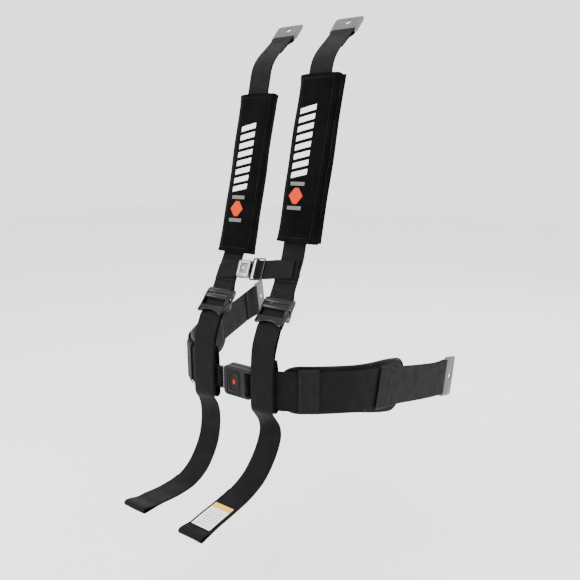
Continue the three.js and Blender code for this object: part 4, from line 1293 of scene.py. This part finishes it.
def build_lap_belt(side):
    route = lap_route(side)
    x_at = np.abs(route.at[:, 0])
    front = route.far < 260
    share_at = np.where(front, smoothstep(x_at, 43, 68), 1)
    wide_at = LAP_GATHERED + (LAP_WIDE - LAP_GATHERED) * share_at
    if side == "left":
        near = 40 + 26 * smoothstep((x_at - 42) / 20, 0, 1)
        wide_at = np.where(front & (x_at < 66), near, np.maximum(wide_at, 60))
        wide_at = np.where(front & (x_at >= 60) & (x_at < 95), 64 + 12 * smoothstep(x_at, 60, 92), wide_at)
    gather = lambda s: np.interp(s, route.far, wide_at) / LAP_WIDE
    gathers = lambda s: 1 - np.interp(s, route.far, share_at)
    pleat = lambda x, s: 0.8 * np.sin(x / 2.1 + 0.4 * np.sin(s / 9)) * gathers(s) ** 0.5 * 0.9
    folds = lambda x, s: pleat(x, s) + 0.3 * np.sin(s / 41)
    belt = strip(f"{side}_lap_belt", route, LAP_WIDE, gather=gather, lift=folds, columns=48)
    nodes = [f"{side}_lap_webbing"] + (["left_tongue_webbing"] if side == "left" else [])
    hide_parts(*nodes)
    end = route.length - 46 - 13
    rows = box_and_cross(30, end - 44, end - 20)
    sew_on(f"{side}_lap_belt_stitching", rows, WEB / 2 + 0.15, route)
    if side == "left":
        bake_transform(belt)
    else:
        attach(belt, "root")


def chest_matrix():
    turn = Matrix.Rotation(math.radians(CHEST_DEG - 90), 4, "X") @ Matrix.Rotation(-0.1, 4, "Y")
    return Matrix.Translation((0, *step(CHEST_LOW, CHEST_DEG, CHEST_UP))) @ turn


def build_chest_belts():
    layer = -2 * SEWN
    flat = lambda pairs: [(x, y, 0) for x, y in pairs]
    left = smooth(flat([(-90, layer), (-75, layer), (-60, layer), (-48, layer), (-44, layer + 0.3),
                        (-41.4, -1.6), (-39, 0), (-37.4, 0)]), 44)
    route = Route(left, (0, 0, 1), chest_matrix())
    narrow = lambda s: (27 + 10 * smoothstep(-np.interp(s, route.far, route.at[:, 0]), 44, 54)) / CHEST_WIDE
    tab = strip("left_chest_belt", Route(left, (0, 0, -1), chest_matrix()), CHEST_WIDE, gather=narrow)
    set_on(tab, "root", "left_chest_webbing", slot="web_black")
    right = smooth(flat([
        (92, layer), (60, layer), (45, layer - 0.2), (32, -1.9), (20, 0.1), (12, 0.5), (5.8, 0.2),
        (0.3, -0.8), (-3.6, -2.1), (-4.4, -4), (-3.4, -5.8), (-1, -6.4), (1.3, -5.9), (2.6, -4.2),
        (4, -2.1), (6.4, -1.6), (11.8, -1.5), (18, -1.9), (32, -4), (45, layer - 2.2),
        (60, layer - 2.1), (84, layer - 3.4)]), 130)
    route = Route(right, (0, 0, -1), chest_matrix())
    belt = strip("right_chest_belt", route, CHEST_WIDE)
    set_on(belt, "root", "right_chest_webbing", slot="web_black")


# ---------------------------------------------------------------- hard pieces
def finished_part(node, look, edge, slot):
    """A hard part's merged copy, with its edges rounded and polished."""
    source = frame["nodes"][node]
    piece = bpy.data.objects.new(node + "_finished", source.data.copy())
    bpy.context.scene.collection.objects.link(piece)
    only(piece)
    bpy.ops.object.mode_set(mode="EDIT")
    bpy.ops.mesh.select_all(action="SELECT")
    bpy.ops.mesh.remove_doubles(threshold=0.00002)
    bpy.ops.mesh.dissolve_limited(angle_limit=math.radians(1.5))
    bpy.ops.object.mode_set(mode="OBJECT")
    modify(piece, "rounded edges", "BEVEL", width=edge * MM, segments=3, limit_method="ANGLE",
           angle_limit=math.radians(28), miter_outer="MITER_ARC")
    finish_modifiers(piece)
    smooth_faces(piece, 35)
    paint(piece, look)
    set_on(piece, source["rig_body"], node, slot=slot)
    return piece


def build_button_mark():
    """A small brass rivet head in the middle of the chest buckle's button."""
    source = frame["nodes"]["chest_buckle_button"]
    to_local = chest_matrix().inverted()
    spots = np.array([to_local @ (source.matrix_world @ v.co / MM) for v in source.data.vertices])
    front = spots[:, 1].min()
    deselect()
    bpy.ops.mesh.primitive_cylinder_add(vertices=40, radius=2.6 * MM, depth=1.0 * MM)
    mark = bpy.context.object
    mark.name = "chest_buckle_button_rivet"
    modify(mark, "domed", "BEVEL", width=0.4 * MM, segments=3, angle_limit=math.radians(40))
    finish_modifiers(mark)
    middle = (spots[:, 0].max() + spots[:, 0].min()) / 2
    co = read(mark) / MM
    turned = np.stack([co[:, 0] + middle, co[:, 2] + front - 0.1, co[:, 1]], axis=1)
    write(mark, np.array([chest_matrix() @ Vector(p) for p in turned]) * MM)
    smooth_faces(mark, 40)
    paint(mark, "brass")
    set_on(mark, source["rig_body"], slot="steel_bright")


def build_hard_parts():
    for side in SIDES:
        finished_part(f"{side}_adjuster_frame", "black_steel", 0.55, "steel_black")
        finished_part(f"{side}_adjuster_lock_bar", "black_steel", 0.4, "steel_black")
        finished_part(f"{side}_shoulder_anchor", "plated_steel", 0.5, "steel_plated")
        finished_part(f"{side}_lap_anchor", "plated_steel", 0.5, "steel_plated")
    for node, look, edge, slot in (
            ("lap_buckle_rear_shell", "plastic", 0.6, "plastic_dark"),
            ("lap_buckle_front_cover", "plastic", 0.8, "plastic_dark"),
            ("lap_buckle_button", "button", 0.5, "plastic_dark"),
            ("lap_buckle_indicator", "red", 0.4, "indicator_red"),
            ("lap_buckle_frame", "plated_steel", 0.3, "steel_plated"),
            ("lap_buckle_tongue", "bright_steel", 0.4, "steel_plated"),
            ("chest_buckle_cover", "bright_steel", 0.5, "steel_bright"),
            ("chest_buckle_base", "black_steel", 0.4, "steel_plated"),
            ("chest_buckle_button", "plated_steel", 0.3, "steel_bright"),
            ("chest_buckle_tongue", "black_steel", 0.4, "steel_black")):
        finished_part(node, look, edge, slot)
    for node, look in (("lap_buckle_latch", "plated_steel"), ("lap_buckle_spring", "bright_steel"),
                       ("lap_buckle_ejector", "button"), ("lap_buckle_ejector_spring", "bright_steel"),
                       ("chest_buckle_latch", "plated_steel"), ("chest_buckle_spring", "bright_steel")):
        paint(frame["nodes"][node], look)


place_camera()
build_studio()
for name in SIDES:
    build_shoulder_belt(name)
    build_adjuster_belt(name)
    build_tail(name)
    build_lap_belt(name)
    build_hip_pad(name)
    build_shoulder_pad(name)
build_chest_belts()
build_hard_parts()
build_button_mark()
